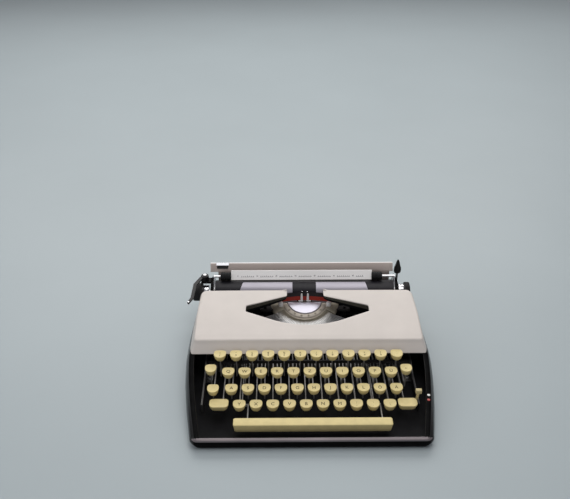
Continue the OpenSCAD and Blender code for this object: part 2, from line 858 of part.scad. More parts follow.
module return_lever() {
    color(casing_black)
        difference() {
            union() {
                translate([return_x, return_y, bracket_z + bracket_t + slip])
                    cylinder(h = 7, r = 5);
                translate([0, 0, 66.6])
                    linear_extrude(2.2)
                        polygon([[return_x + 4, return_y + 2], [return_x - 4, return_y + 2],
                                 [-147.4, cover_rear_y + 10], [-148, cover_rear_y - 20],
                                 [-151.4, cover_rear_y - 29], [-149, cover_rear_y - 31],
                                 [-144, cover_rear_y - 20], [-143.2, cover_rear_y + 8],
                                 [return_x - 3, return_y - 6]]);
            }
            translate([return_x, return_y, bracket_z])
                cylinder(h = 20, r = return_post_r + run_gap);
        }
    color(steel)
        translate([-150, cover_rear_y - 30, 65.6])
            cylinder(h = 0.9, r = 1.4);
}

release_t = 1.6;

// Right half of the lever's thumb piece, from its foot to its tip
thumb_half = [[1.2, 14.3], [3.4, 15.2], [4.6, 17.5], [4.8, 20.5], [4.4, 24], [3.3, 27], [2.6, 30],
              [2, 33], [1, 35.4], [0, 36]];

// A lever beside the end plate with a drop-shaped thumb piece that faces the typist
module paper_release_lever() {
    x = right_plate_x + end_plate_t / 2 + 1.3;
    color(casing_black)
        difference() {
            union() {
                rod_x(x - release_t / 2, x + release_t / 2, release_y, release_z, 4);
                plate_x(x, release_t)
                    polygon([[release_y - 3.4, release_z], [release_y - 1.5, release_z + 16],
                             [release_y - 0.4, release_z + 27], [release_y + 1.6, release_z + 27],
                             [release_y + 2.8, release_z + 16], [release_y + 3.4, release_z]]);
                translate([x, 0, release_z])
                    plate_y(release_y + 0.6, 2)
                        polygon(concat(thumb_half,
                                       [for (i = [len(thumb_half) - 2:-1:0])
                                           [-thumb_half[i][0], thumb_half[i][1]]]));
            }
            rod_x(x - 2, x + 2, release_y, release_z, pin_r + run_gap);
        }
}

module mainspring_drum() {
    color(steel)
        translate([drum_x, drum_y, floor_z + 2.4])
            difference() {
                union() {
                    cylinder(h = 8, r = 13);
                    cylinder(h = 1, r = 14);
                    translate([0, 0, 7])
                        cylinder(h = 1, r = 14);
                }
                translate([0, 0, -1])
                    cylinder(h = 12, r = drum_post_r + run_gap);
            }
}

// Corners of one pinion tooth round angle a
function pinion_tooth(a) =
    let (m = tooth_module, half = 90 / pinion_teeth)
    [[pinion_r - 1.2 * m, a - 1.25 * half], [pinion_r, a - 0.9 * half],
     [pinion_r + 0.85 * m, a - 0.38 * half], [pinion_r + 0.85 * m, a + 0.38 * half],
     [pinion_r, a + 0.9 * half], [pinion_r - 1.2 * m, a + 1.25 * half]];

module escapement_wheel() {
    color(steel) {
        // the pinion; its tooth gap points straight up at the rack tooth in the middle
        plate_y((pinion_y0 + pinion_y1) / 2, pinion_y1 - pinion_y0 - 0.4)
            translate([0, pinion_z])
                polygon([for (k = [0:pinion_teeth - 1])
                    for (p = pinion_tooth(90 + (k + 0.5) * 360 / pinion_teeth))
                        p[0] * [cos(p[1]), sin(p[1])]]);
        // the ratchet wheel on the same shaft
        plate_y(pinion_y0 - 2, 2)
            translate([0, pinion_z])
                polygon([for (k = [0:23]) for (p = [[6.4, k * 15], [7.8, k * 15 + 3]])
                    p[0] * [cos(p[1]), sin(p[1])]]);
        rod_y(pinion_y0 - 5, rail_y1 - 2, 0, pinion_z, pin_r);
    }
}

/* Keys and their levers */

// Outline of a lever in Y and Z, from its hub forward to its post
module lever_outline(tip_y, end_z, top_z) {
    difference() {
        union() {
            translate([shaft_y, shaft_z])
                circle(r = hub_r);
            polygon([[shaft_y, shaft_z - lever_h / 2], [shaft_y, shaft_z + lever_h / 2],
                     [tip_y, end_z + lever_h / 2], [tip_y, end_z - lever_h / 2]]);
            translate([tip_y - post_w / 2, end_z - lever_h / 2])
                square([post_w, top_z - end_z + lever_h / 2]);
        }
        translate([shaft_y, shaft_z])
            circle(r = bore_r);
    }
}

post_w = 4;
cap_seat = 5.5;

module lever(x, tip_y, end_z, top_z) {
    color(steel)
        plate_x(x, lever_t)
            lever_outline(tip_y, end_z, top_z);
}

// The slot that a lever's post and strip need in the cap that sits on it
module lever_slot(x, tip_y, end_z, top_z) {
    plate_x(x, lever_t + 2 * slip) {
        translate([tip_y - post_w / 2 - slip, 0])
            square([post_w + 2 * slip, top_z + slip]);
        translate([tip_y, 0])
            square([20, end_z + lever_h / 2 + slip]);
    }
}

// A round key top, flat at the back, tapering downwards
module cap(x, y, z) {
    color(key_cream)
        intersection() {
            translate([x, y, z - cap_h])
                cylinder(h = cap_h, r1 = cap_foot_w / 2, r2 = cap_w / 2);
            block([x - cap_w, y - cap_w, z - cap_h - 1], [x + cap_w, y - cap_w / 2 + cap_d, z + 1]);
        }
}

// A key with its lever; row 0 is the number row
module key(row, i) {
    x = row_x(row, i);
    y = row_y[row];
    z = row_z[row];
    post_top = z - cap_h + cap_seat;
    lever(x, y, lever_end_z, post_top);
    difference() {
        cap(x, y, z);
        color(key_cream)
            lever_slot(x, y, lever_end_z, post_top);
    }
}

// Row of a letter, counted from the number row, and its place in that row
function letter_row(c) = [for (r = [0:2]) if (len(search(c, LETTER_ROWS[r])) > 0) r + 1][0];
function letter_place(c) = search(c, LETTER_ROWS[letter_row(c) - 1])[0];

module letter_key(c) {
    key(letter_row(c), letter_place(c));
}

module figure_keys() {
    // the number row, then the keys after the letters in the other rows
    for (i = [0:row_count[0] - 1])
        key(0, i);
    for (row = [1:3])
        for (i = [len(LETTER_ROWS[row - 1]):row_count[row] - 1])
            key(row, i);
}

// Outline of a wide key top, half width w and half depth d, with round corners
module wide_outline(w, d) {
    r = 5;
    corners = [[1, 1, 0], [-1, 1, 90], [-1, -1, 180], [1, -1, 270]];
    polygon([for (q = corners) for (a = [0:22.5:90])
        [q[0] * (w - r) + r * cos(q[2] + a), q[1] * (d - r) + r * sin(q[2] + a)]]);
}

// A wide key top that tapers downwards
module wide_cap(x, y, z, w, d) {
    color(key_cream)
        translate([x, y, z])
            hull() {
                translate([0, 0, -1])
                    linear_extrude(1)
                        wide_outline(w, d);
                translate([0, 0, -cap_h])
                    linear_extrude(1)
                        wide_outline(w - 1.4, d - 1.4);
            }
}

// A key of its own beside the rows, on one lever
module side_key(x, cap_x, y, z, w, d, end_z) {
    post_top = z - cap_h + cap_seat;
    lever(x, y, end_z, post_top);
    difference() {
        wide_cap(cap_x, y, z, w, d);
        color(key_cream)
            lever_slot(x, y, end_z, post_top);
    }
}

shift_y = 48.3;
shift_z = 22.4;
shift_bar_y = shaft_y - 8;
shift_bar_z = 6.3;
foot_z = shift_bar_z - 1.3;
shift_bar_r = 0.8;
left_shift_cap_x = left_shift_x - 4;
right_shift_cap_x = right_shift_x + 2.6;

module shift_keys() {
    difference() {
        union() {
            side_key(left_shift_x, left_shift_cap_x, shift_y, shift_z, 11, 6.8, lever_end_z);
            side_key(right_shift_x, right_shift_cap_x, shift_y, shift_z, 11, 6.8, lever_end_z);
            color(steel)
                for (x = [left_shift_x, right_shift_x])
                    plate_x(x, lever_t)
                        polygon([[shift_bar_y - 2.5, foot_z], [shift_bar_y - 2.5, shaft_z],
                                 [shift_bar_y + 3, shaft_z], [shift_bar_y + 2.5, foot_z]]);
        }
        color(steel)
            rod_x(left_shift_x - lever_t, right_shift_x + lever_t,
                  shift_bar_y, shift_bar_z, shift_bar_r + press_gap);
    }
    // the bar that makes both shift levers turn together
    color(steel)
        rod_x(left_shift_x - lever_t / 2, right_shift_x + lever_t / 2, shift_bar_y, shift_bar_z, shift_bar_r);
}

module shift_lock_key() {
    side_key(lock_x, lock_x, 63.3, 31, 6.8, 6.8, lever_end_z + 3.4);
}

module backspace_key() {
    side_key(back_x, back_x, 84.2, 42, 6.8, 6.8, lever_end_z);
}

module margin_release_key() {
    side_key(margin_x, margin_x, 87.4, 40, 6.8, 6.8, lever_end_z);
}

space_y = 20;
space_z = 22;
space_d = 11.6;
space_h = 8.6;
space_arm_z = floor_z + 5.2;
arm_h = 3.4;
jog_y = row_y[3] + cap_d / 2 + 2.6;
left_gap_x = (row_x(3, 0) + row_x(3, 1)) / 2;
right_gap_x = (row_x(3, 8) + row_x(3, 9)) / 2;

// One arm of the space bar: back in the gap between two keys, a step sideways, then to the shaft
module space_arm(x, gap_x) {
    plate_x(x, lever_t)
        difference() {
            union() {
                translate([shaft_y, shaft_z])
                    circle(r = hub_r);
                polygon([[shaft_y, shaft_z - arm_h / 2], [shaft_y, shaft_z + arm_h / 2],
                         [jog_y - 1, space_arm_z + arm_h], [jog_y - 1, space_arm_z]]);
            }
            translate([shaft_y, shaft_z])
                circle(r = bore_r);
        }
    block([min(x, gap_x) - lever_t / 2, jog_y - 1, space_arm_z],
          [max(x, gap_x) + lever_t / 2, jog_y + 1, space_arm_z + arm_h - 0.4]);
    plate_x(gap_x, lever_t)
        polygon([[jog_y + 1, space_arm_z], [jog_y + 1, space_arm_z + arm_h - 0.4],
                 [space_y + 4, space_arm_z + arm_h], [space_y + 2, space_z - 3],
                 [space_y - 2, space_z - 3], [space_y - 2, space_arm_z]]);
}

module space_bar() {
    color(key_cream)
        difference() {
            translate([basket_x + 3.5, 0, 0])
                plate_x(0, space_len)
                    polygon([[space_y - space_d / 2, space_z - space_h],
                             [space_y - space_d / 2, space_z - 1.6],
                             [space_y - space_d / 2 + 1.4, space_z],
                             [space_y + space_d / 2 - 0.8, space_z],
                             [space_y + space_d / 2, space_z - 0.8],
                             [space_y + space_d / 2, space_z - space_h]]);
            for (x = [left_gap_x, right_gap_x])
                block([x - lever_t / 2 - slip, space_y - 2 - slip, 0],
                      [x + lever_t / 2 + slip, space_y + space_d, space_z - 3 + slip]);
        }
    color(steel) {
        space_arm(left_space_x, left_gap_x);
        space_arm(right_space_x, right_gap_x);
    }
}

selector_x = frame_half_w - plate_t / 2 - 1.1;
selector_pad_w = 6.6;

// A thin lever with a wider pad for the finger
module ribbon_selector() {
    color("#cdb98a") {
        plate_x(selector_x, 1.6)
            difference() {
                polygon([[selector_y - 3.5, selector_z - 3], [selector_y - 9, 30],
                         [selector_y - 9.4, 37], [selector_y - 5, 37.6], [selector_y - 4, 30],
                         [selector_y + 3.5, selector_z - 3]]);
                translate([selector_y, selector_z])
                    circle(r = pin_r + run_gap);
            }
        plate_x(selector_x, selector_pad_w)
            polygon([[selector_y - 9.1, 32], [selector_y - 9.4, 37], [selector_y - 5, 37.6],
                     [selector_y - 4.3, 32]]);
    }
}

placed() base_casing();
placed() rubber_feet();
placed() case_screws();
placed() main_frame();
placed() key_comb();
placed() type_guide();
placed() card_guide();
placed() carriage_rail();
placed() ribbon();
placed() top_cover();
placed() segment();
placed() typebars();
placed() typebar_h();
placed() ribbon_vibrator();
placed() left_spool();
placed() right_spool();
placed() carriage_frame();
placed() paper_table();
placed() paper_bail();
placed() bail_rollers();
placed() platen();
placed() platen_knobs();
placed() feed_rollers();
placed() return_lever();
placed() paper_release_lever();
placed() mainspring_drum();
placed() escapement_wheel();
placed() ribbon_selector();
placed() space_bar();
placed() shift_keys();
placed() shift_lock_key();
placed() backspace_key();
placed() margin_release_key();
placed() figure_keys();
for (c = LETTERS)
    placed() letter_key(c);
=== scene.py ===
"""Looks of the portable typewriter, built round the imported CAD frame."""

from math import asin, copysign, cos, dist, pi, radians, sin
import bmesh
import bpy
from mathutils import Matrix, Vector


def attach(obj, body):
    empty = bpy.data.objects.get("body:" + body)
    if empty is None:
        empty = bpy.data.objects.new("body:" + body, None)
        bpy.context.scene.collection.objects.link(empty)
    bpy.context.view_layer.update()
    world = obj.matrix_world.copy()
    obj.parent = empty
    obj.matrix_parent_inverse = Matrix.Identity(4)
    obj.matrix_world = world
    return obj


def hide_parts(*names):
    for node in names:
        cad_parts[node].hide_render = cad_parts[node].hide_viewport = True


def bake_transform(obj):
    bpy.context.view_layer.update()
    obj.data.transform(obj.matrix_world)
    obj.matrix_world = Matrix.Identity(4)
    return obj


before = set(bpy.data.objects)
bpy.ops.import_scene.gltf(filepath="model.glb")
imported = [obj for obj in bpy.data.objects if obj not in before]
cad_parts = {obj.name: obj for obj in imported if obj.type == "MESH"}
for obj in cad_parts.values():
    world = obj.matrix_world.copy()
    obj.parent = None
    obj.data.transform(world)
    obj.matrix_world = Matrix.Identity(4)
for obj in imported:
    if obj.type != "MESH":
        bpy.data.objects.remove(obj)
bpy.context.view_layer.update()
scene = bpy.context.scene
MM = 0.001
ORIGIN_Y = 135.0  # the modules' Y starts at the casing's front edge, as in part.scad


def place(p):
    """A point in millimetres from the front edge, in the row frame."""
    return Vector((p[0] * MM, (p[1] - ORIGIN_Y) * MM, p[2] * MM))


# Materials

def feed(m, node, values):
    """Fills a node's inputs: a socket is linked, anything else becomes the input's own value."""
    for key, value in values.items():
        if isinstance(value, bpy.types.NodeSocket):
            m.node_tree.links.new(value, node.inputs[key])
        else:
            node.inputs[key].default_value = value


def new_node(m, kind, values=None, **settings):
    node = m.node_tree.nodes.new("ShaderNode" + kind)
    for key, value in settings.items():
        setattr(node, key, value)
    feed(m, node, values or {})
    return node


def bsdf(m):
    return m.node_tree.nodes["Principled BSDF"]


def ramp(m, fac, *stops):
    """A colour ramp between two stops, each a position and a colour."""
    node = new_node(m, "ValToRGB", {"Fac": fac})
    for element, (position, color) in zip(node.color_ramp.elements, stops):
        element.position, element.color = position, (*color, 1)
    return node.outputs["Color"]


def mixed(m, factor, color, other):
    """A colour that turns into a fixed other one as the factor rises."""
    return new_node(m, "Mix", {"Factor": factor, 6: color, 7: (*other, 1)}, data_type="RGBA").outputs[2]


def shader(name, color, rough, metallic=0.0, var=0.08, cell=90.0, grain=900.0, bump=0.05, rough_var=0.06,
           coat=0.0, coat_rough=0.06, edge=None, edge_from=0.53, spec=0.5, stretch=(1, 1, 1)):
    """A Principled material with colour, roughness and relief from noise, and wear on its edges."""
    m = bpy.data.materials.new(name)
    m.use_nodes = True
    spot = new_node(m, "TexCoord").outputs["Object"]
    spot = new_node(m, "Mapping", {"Vector": spot, "Scale": stretch}).outputs["Vector"]

    def noise(scale, detail=3.0):
        values = {"Vector": spot, "Scale": scale, "Detail": detail, "Roughness": 0.55}
        return new_node(m, "TexNoise", values).outputs["Fac"]

    low, high = ([min(1.0, c * k) for c in color] for k in (1 - var, 1 + var))
    base = ramp(m, noise(cell), (0.32, low), (0.68, high))
    if edge:
        worn = ramp(m, new_node(m, "NewGeometry").outputs["Pointiness"],
                    (edge_from, (0, 0, 0)), (edge_from + 0.09, (1, 1, 1)))
        worn = new_node(m, "Math", {0: worn, 1: noise(cell * 4)}, operation="MULTIPLY").outputs[0]
        base = mixed(m, worn, base, edge)
    gloss = new_node(m, "MapRange", {"Value": noise(cell * 2.3), "To Min": max(0.02, rough - rough_var),
                                     "To Max": rough + rough_var})
    relief = new_node(m, "Bump", {"Height": noise(grain, 4.0), "Strength": bump, "Distance": 0.0004})
    feed(m, bsdf(m), {"Metallic": metallic, "Coat Weight": coat, "Coat Roughness": coat_rough,
                      "Specular IOR Level": spec, "Base Color": base, "Roughness": gloss.outputs["Result"],
                      "Normal": relief.outputs["Normal"]})
    return m


def glossy_sides(m):
    """Painted sheen and shade: the specular level follows which way a face looks, full where it looks to the
    left or right, near none where it looks to the front, so front faces stay dark.
    """
    normal = new_node(m, "NewGeometry").outputs["Normal"]
    x = new_node(m, "SeparateXYZ", {"Vector": normal}).outputs["X"]
    size = new_node(m, "Math", {0: x}, operation="ABSOLUTE").outputs[0]
    level = new_node(m, "MapRange", {"Value": size, "From Min": 0.3, "From Max": 0.85, "To Min": 0.02,
                                     "To Max": 1.0})
    feed(m, bsdf(m), {"Specular IOR Level": level.outputs["Result"]})


LACQUER = shader("black_lacquer", (0.005, 0.005, 0.0052), 0.24, var=0.25, bump=0.03, grain=700,
                 edge=(0.03, 0.028, 0.03), spec=0.08)
# painted sheen on the lacquer's sides and painted shade on its front, from the way each face looks
glossy_sides(LACQUER)
# Painted reflection: the rim's front part gets a lighter grey, partly metallic copy of the black lacquer,
# standing for the lamps' light shining off it
RIM_PAINTED_REFLECTION = shader("rim_painted_reflection", (0.19, 0.165, 0.172), 0.36, metallic=0.25, var=0.12, cell=24, bump=0.03, grain=700,
             edge=(0.26, 0.24, 0.25), spec=0.3)
WELL = shader("well_paint", (0.005, 0.005, 0.006), 0.6, var=0.3, cell=60, bump=0.12, spec=0.12)
ENAMEL = shader("light_grey_enamel", (0.70, 0.645, 0.60), 0.42, var=0.03, cell=30, bump=0.06, grain=1500,
                coat=0.08, coat_rough=0.25, edge=(0.76, 0.71, 0.66), spec=0.3)
CREAM = shader("cream_key_plastic", (0.72, 0.60, 0.29), 0.42, var=0.05, cell=120, grain=1800,
               edge=(0.78, 0.67, 0.38), edge_from=0.56, spec=0.25)
LEGEND = shader("legend_ink", (0.045, 0.036, 0.02), 0.6, var=0.2, cell=900, spec=0.1)
STEEL = shader("bright_steel", (0.60, 0.60, 0.61), 0.3, metallic=1.0, cell=300,
               grain=2500, stretch=(1, 0.08, 1), edge=(0.8, 0.8, 0.81))
LEVER = shader("lever_steel", (0.38, 0.37, 0.36), 0.42, metallic=0.7, var=0.25, cell=250, bump=0.08, grain=2000,
               stretch=(1, 0.08, 1), edge=(0.7, 0.69, 0.68), spec=0.3)
CHROME = shader("polished_chrome", (0.82, 0.82, 0.84), 0.1, metallic=1.0, var=0.03, cell=150, bump=0.01,
                rough_var=0.03)
DARK_STEEL = shader("oiled_steel", (0.03, 0.029, 0.03), 0.5, metallic=0.5, var=0.3, cell=200, bump=0.15,
                    edge=(0.16, 0.155, 0.15), spec=0.2)
RUBBER = shader("roller_rubber", (0.012, 0.011, 0.015), 0.42, var=0.25, cell=160, bump=0.08, grain=1600,
                spec=0.3)
FOOT_RUBBER = shader("foot_rubber", (0.018, 0.018, 0.018), 0.75, var=0.3, cell=300, bump=0.3)
KNOB = shader("knob_plastic", (0.008, 0.0075, 0.008), 0.38, var=0.3, cell=200, edge=(0.04, 0.04, 0.04),
              spec=0.25)
SELECTOR = shader("selector_plastic", (0.62, 0.52, 0.28), 0.45, cell=300, bump=0.08, spec=0.2)
ROLLER = shader("bail_roller_rubber", (0.009, 0.009, 0.010), 0.6, var=0.2, cell=300, bump=0.2, spec=0.2)
TAUPE = shader("paper_table_paint", (0.44, 0.375, 0.345), 0.45, metallic=0.2, var=0.06, cell=60, bump=0.08,
               stretch=(0.15, 1, 1), edge=(0.62, 0.57, 0.52), spec=0.3)
DISC = shader("polished_disc", (0.66, 0.645, 0.73), 0.3, metallic=0.5, var=0.03, cell=80, bump=0.02)
RING = shader("ring_metal", (0.50, 0.45, 0.385), 0.5, metallic=0.25, var=0.12, cell=200, bump=0.08,
              edge=(0.55, 0.51, 0.44), spec=0.25)
FLANK = shader("segment_flank", (0.37, 0.335, 0.26), 0.55, metallic=0.1, var=0.15, cell=250, bump=0.12,
               edge=(0.50, 0.46, 0.38), spec=0.2)
SCALE = shader("scale_strip", (0.99, 0.955, 0.935), 0.34, var=0.03, cell=60, bump=0.03, stretch=(0.2, 1, 1),
               spec=0.9)
SCALE_INK = shader("scale_ink", (0.10, 0.09, 0.11), 0.5, var=0.2, cell=700, spec=0.15)
GUIDE = shader("card_guide_metal", (0.42, 0.40, 0.455), 0.32, metallic=0.3, var=0.04, cell=60, bump=0.02,
               stretch=(0.2, 1, 1))
LIP = shader("opening_lip_paint", (0.075, 0.069, 0.054), 0.6, var=0.12, cell=120, bump=0.1, spec=0.15)
WHITE_DOT = shader("white_mark", (0.85, 0.84, 0.80), 0.4, var=0.05, cell=800)
RED_DOT = shader("red_mark", (0.45, 0.05, 0.04), 0.4, var=0.1, cell=800)


def ribbon_shader():
    """Woven ribbon, black in its upper half and red in its lower half, split along the UV's V."""
    m = shader("inked_ribbon", (0.02, 0.018, 0.02), 0.7, var=0.3, cell=900, bump=0.25, grain=5000)
    black = bsdf(m).inputs["Base Color"].links[0].from_socket
    uv = new_node(m, "UVMap", uv_map="ribbon").outputs["UV"]
    v = new_node(m, "SeparateXYZ", {"Vector": uv}).outputs["Y"]
    low = new_node(m, "Math", {0: v, 1: 0.5}, operation="LESS_THAN").outputs[0]
    feed(m, bsdf(m), {"Base Color": mixed(m, low, black, (0.40, 0.03, 0.014))})
    return m


RIBBON = ribbon_shader()


# Mesh making

class Shape:
    """Collects vertices in millimetres from the front edge, with faces and their material numbers."""

    def __init__(self):
        self.v, self.f, self.m = [], [], []

    def add(self, verts, faces, mat=0):
        """Here and below, mat is one material number, or a list with a number for each face."""
        o = len(self.v)
        self.v += [tuple(p) for p in verts]
        self.f += [tuple(o + i for i in f) for f in faces]
        self.m += mat if isinstance(mat, list) else [mat] * len(faces)

    def take(self, other):
        self.add(other.v, other.f, other.m)

    def moved(self, matrix):
        self.v = [tuple(matrix @ Vector(p)) for p in self.v]
        return self

    def rings(self, rings, mat=0, closed=True, caps=True, around=False):
        """A skin over rings of equal length. Each ring can be closed, both ends can have a flat cap, and the
        skin can go on around to the first ring."""
        k, n = len(rings[0]), len(rings)
        faces = [(i * k + j, i * k + (j + 1) % k, (i + 1) % n * k + (j + 1) % k, (i + 1) % n * k + j)
                 for i in range(n if around else n - 1) for j in range(k if closed else k - 1)]
        if caps:
            faces += [tuple(range(k - 1, -1, -1)), tuple((n - 1) * k + j for j in range(k))]
        self.add([p for r in rings for p in r], faces, mat)

    def prism(self, outline, lo, hi, axis="x", mat=0):
        """An outline extruded along an axis: drawn in Y and Z for x, in X and Z for y, in X and Y for z."""
        def at(p, t):
            return {"x": (t, p[0], p[1]), "y": (p[0], t, p[1]), "z": (p[0], p[1], t)}[axis]
        self.rings([[at(p, t) for p in outline] for t in (lo, hi)], mat)

    def box(self, lo, hi, mat=0):
        self.prism([(lo[1], lo[2]), (hi[1], lo[2]), (hi[1], hi[2]), (lo[1], hi[2])], lo[0], hi[0], "x", mat)

    def lathe(self, profile, centre, axis, seg, mat=0, a0=0.0, a1=360.0, ring=False):
        """A profile of (radius, distance along the axis) turned about the x or z axis through centre; for a
        ring the profile is a closed loop."""
        whole = a1 - a0 >= 360
        rings = []
        for i in range(seg if whole else seg + 1):
            a = radians(a0 + (a1 - a0) * i / seg)
            turned = [(t, r * cos(a), r * sin(a)) if axis == "x" else (r * cos(a), r * sin(a), t)
                      for r, t in profile]
            rings.append([tuple(c + d for c, d in zip(centre, p)) for p in turned])
        self.rings(rings, mat, closed=ring, caps=ring and not whole, around=whole)


def linked(name, data):
    """A new object in the scene."""
    ob = bpy.data.objects.new(name, data)
    scene.collection.objects.link(ob)
    return ob


def new_mesh(name, verts, faces, mats):
    me = bpy.data.meshes.new(name)
    me.from_pydata(verts, [], faces)
    for m in mats:
        me.materials.append(m)
    return me


def piece(name, shape, mats, body, nodes=(), bevel=0.0, seg=2, angle=40, merge=True):
    """Makes the object, shades it, lets it ride on a body and stand for CAD nodes."""
    me = new_mesh(name, [place(p) for p in shape.v], shape.f, mats if isinstance(mats, list) else [mats])
    me.polygons.foreach_set("material_index", shape.m)
    bm = bmesh.new()
    bm.from_mesh(me)
    if merge:
        bmesh.ops.remove_doubles(bm, verts=bm.verts, dist=2e-6)
    bmesh.ops.dissolve_degenerate(bm, edges=bm.edges, dist=1e-6)
    bmesh.ops.recalc_face_normals(bm, faces=bm.faces)
    bm.to_mesh(me)
    bm.free()
    me.shade_smooth()
    ob = linked(name, me)
    if bevel:
        bv = ob.modifiers.new("bevel", "BEVEL")
        bv.width = bevel * MM
        bv.segments = seg
        bv.limit_method = "ANGLE"
        bv.angle_limit = radians(angle)
        bv.harden_normals = True
    else:
        me.set_sharp_from_angle(angle=radians(angle))
    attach(ob, body)
    if nodes:
        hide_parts(*nodes)
    return ob


def lerp(a, b, t):
    return a + (b - a) * t


def smooth(t):
    t = min(1.0, max(0.0, t))
    return t * t * (3 - 2 * t)


def steps(a, b, n):
    """The n + 1 values of n equal steps from a to b."""
    return [lerp(a, b, i / n) for i in range(n + 1)]


# Camera, floor, lights

cam = linked("camera", bpy.data.cameras.new("camera"))
cam.location = (-0.03408, -0.66542, 0.59643)
cam.rotation_euler = (radians(57.58), 0, radians(-0.48))
cam.data.lens = 44.196
cam.data.sensor_width = 36.0
cam.data.sensor_fit = "HORIZONTAL"
cam.data.clip_start = 0.02
scene.camera = cam
scene.view_settings.view_transform = "Standard"

FLOOR = shader("pale_floor", (0.40, 0.455, 0.475), 0.42, var=0.02, cell=3, bump=0.0, rough_var=0.02, spec=0.4)
floor_corners = [(-4, -3, 0), (4, -3, 0), (4, 5, 0), (-4, 5, 0)]
floor = linked("floor", new_mesh("floor", floor_corners, [(0, 1, 2, 3)], [FLOOR]))

world = bpy.data.worlds.new("studio")
world.use_nodes = True
scene.world = world
sky = world.node_tree.nodes["Background"]
sky.inputs["Color"].default_value = (0.86, 0.86, 0.9, 1)
sky.inputs["Strength"].default_value = 0.28


def area(name, spot, target, size, power, color):
    """A rectangular lamp in metres that looks at a target."""
    light = bpy.data.lights.new(name, "AREA")
    light.shape = "RECTANGLE"
    light.size, light.size_y = size
    light.energy, light.color = power, color
    ob = linked(name, light)
    ob.location = spot
    ob.rotation_euler = (Vector(target) - Vector(spot)).to_track_quat("-Z", "Y").to_euler()


area("back_softbox", (-0.1, 1.5, 1.15), (0, 0, 0.02), (2.4, 1.1), 19, (1.0, 0.99, 0.97))
area("top_softbox", (0.1, 0.1, 1.7), (0, 0, 0), (1.6, 1.2), 12.7, (1.0, 0.985, 0.97))
area("left_fill", (-1.4, -0.3, 0.9), (0, 0, 0), (0.9, 0.9), 3, (0.95, 0.97, 1.0))
area("front_fill", (-0.1, -1.7, 0.75), (0, 0, 0.03), (1.4, 0.7), 3.0, (0.97, 0.98, 1.0))

# Sizes of the CAD source, in mm

PITCH = 19.05
ROW_Y = [103.3, 83.9, 65.0, 46.5]
ROW_Z = [48.4, 38.7, 30.5, 23.4]
ROW_SHIFT = [-1.1, 0.05, 4.35, 4.5]
ROW_COUNT = [12, 11, 11, 10]
LETTER_ROWS = ["qwertzuiop", "asdfghjkl", "yxcvbnm"]
CASE_D = 270.0
BELLY = 148.775
RIM_INSET = 5.0
RIM_BAND = 6.0
FRONT_BAND = 4.0
RIM_FRONT_Z = 13.4
SEAM_Z = 38.8
REAR_Z = 21.5
FOOT_Z = 3.0
FLOOR_Z = 4.4
CHIN_Y = 113.2
WIDEST_Y = 125.2
COVER_REAR_Y = 207.7
PLATEN_Y, PLATEN_Z, PLATEN_R = 230.0, 47.0, 15.5
SHAFT_Y, SHAFT_Z, SHAFT_R = 215.0, 11.0, 1.5
BASKET_X, BASKET_Y, BASKET_Z, BASKET_TILT = -2.0, 215.0, 42.3, 14.0
PLATEN_X0, PLATEN_X1 = -120.0, 116.0
LEFT_PLATE_X, RIGHT_PLATE_X = -124.05, 120.05
ROLLER_AXIS = (0, PLATEN_Y, PLATEN_Z)
RETURN_X, RETURN_Y = -133.95, 236  # pin of the return lever
RELEASE_AXIS = (0, 246, 50)  # pin of the paper release lever
BAIL_PIVOT = (222, 51)
BAIL_Y, BAIL_Z = 235.5, 68.0


def belly_at(y):
    """Half of the casing's width."""
    if y < WIDEST_Y:
        return BELLY - 15.5 * (1 - sin(pi / 2 * max(y, 0) / WIDEST_Y))
    return BELLY - 11 * (1 - cos(pi / 2 * (y - WIDEST_Y) / (CASE_D - WIDEST_Y)))


def rim_at(y):
    """Height of the rim: it rises to the cover, then drops behind it."""
    if y < CHIN_Y:
        return lerp(RIM_FRONT_Z, SEAM_Z, max(y, 0) / CHIN_Y)
    return lerp(SEAM_Z, REAR_Z, smooth((y - 207.4) / 1.8))


# Casing

SIDE_YS = [16, 24, 34, 46, 60, 75, 90, 102, 110, 113.2, 116, 124, 135, 150, 165, 180, 195, 204, 207.4, 207.8,
           208.2, 208.6, 209.2, 211, 222, 236, 250]


def plan(inset, front, r):
    """A closed outline round the casing, drawn in at the sides, in front and behind, with corner radius r."""
    rear = CASE_D - front

    def half(y):
        return belly_at(y) - inset

    def corner(side, y_mid, y_dir, flip=False):
        cx = half(y_mid) - r
        angles = [radians(15 * k) for k in range(1, 6)]
        out = [(side * (cx + r * sin(a)), y_mid - y_dir * r * cos(a)) for a in angles]
        return out[::-1] if flip else out

    ys = [front + r] + SIDE_YS + [rear - r]
    return ([(t * (half(front) - r), front) for t in steps(-1, 1, 24)] + corner(1, front + r, 1)
            + [(half(y), y) for y in ys] + corner(1, rear - r, -1, True)
            + [(t * (half(rear) - r), rear) for t in steps(1, -1, 24)] + corner(-1, rear - r, -1)
            + [(-half(y), y) for y in ys[::-1]] + corner(-1, front + r, 1, True))


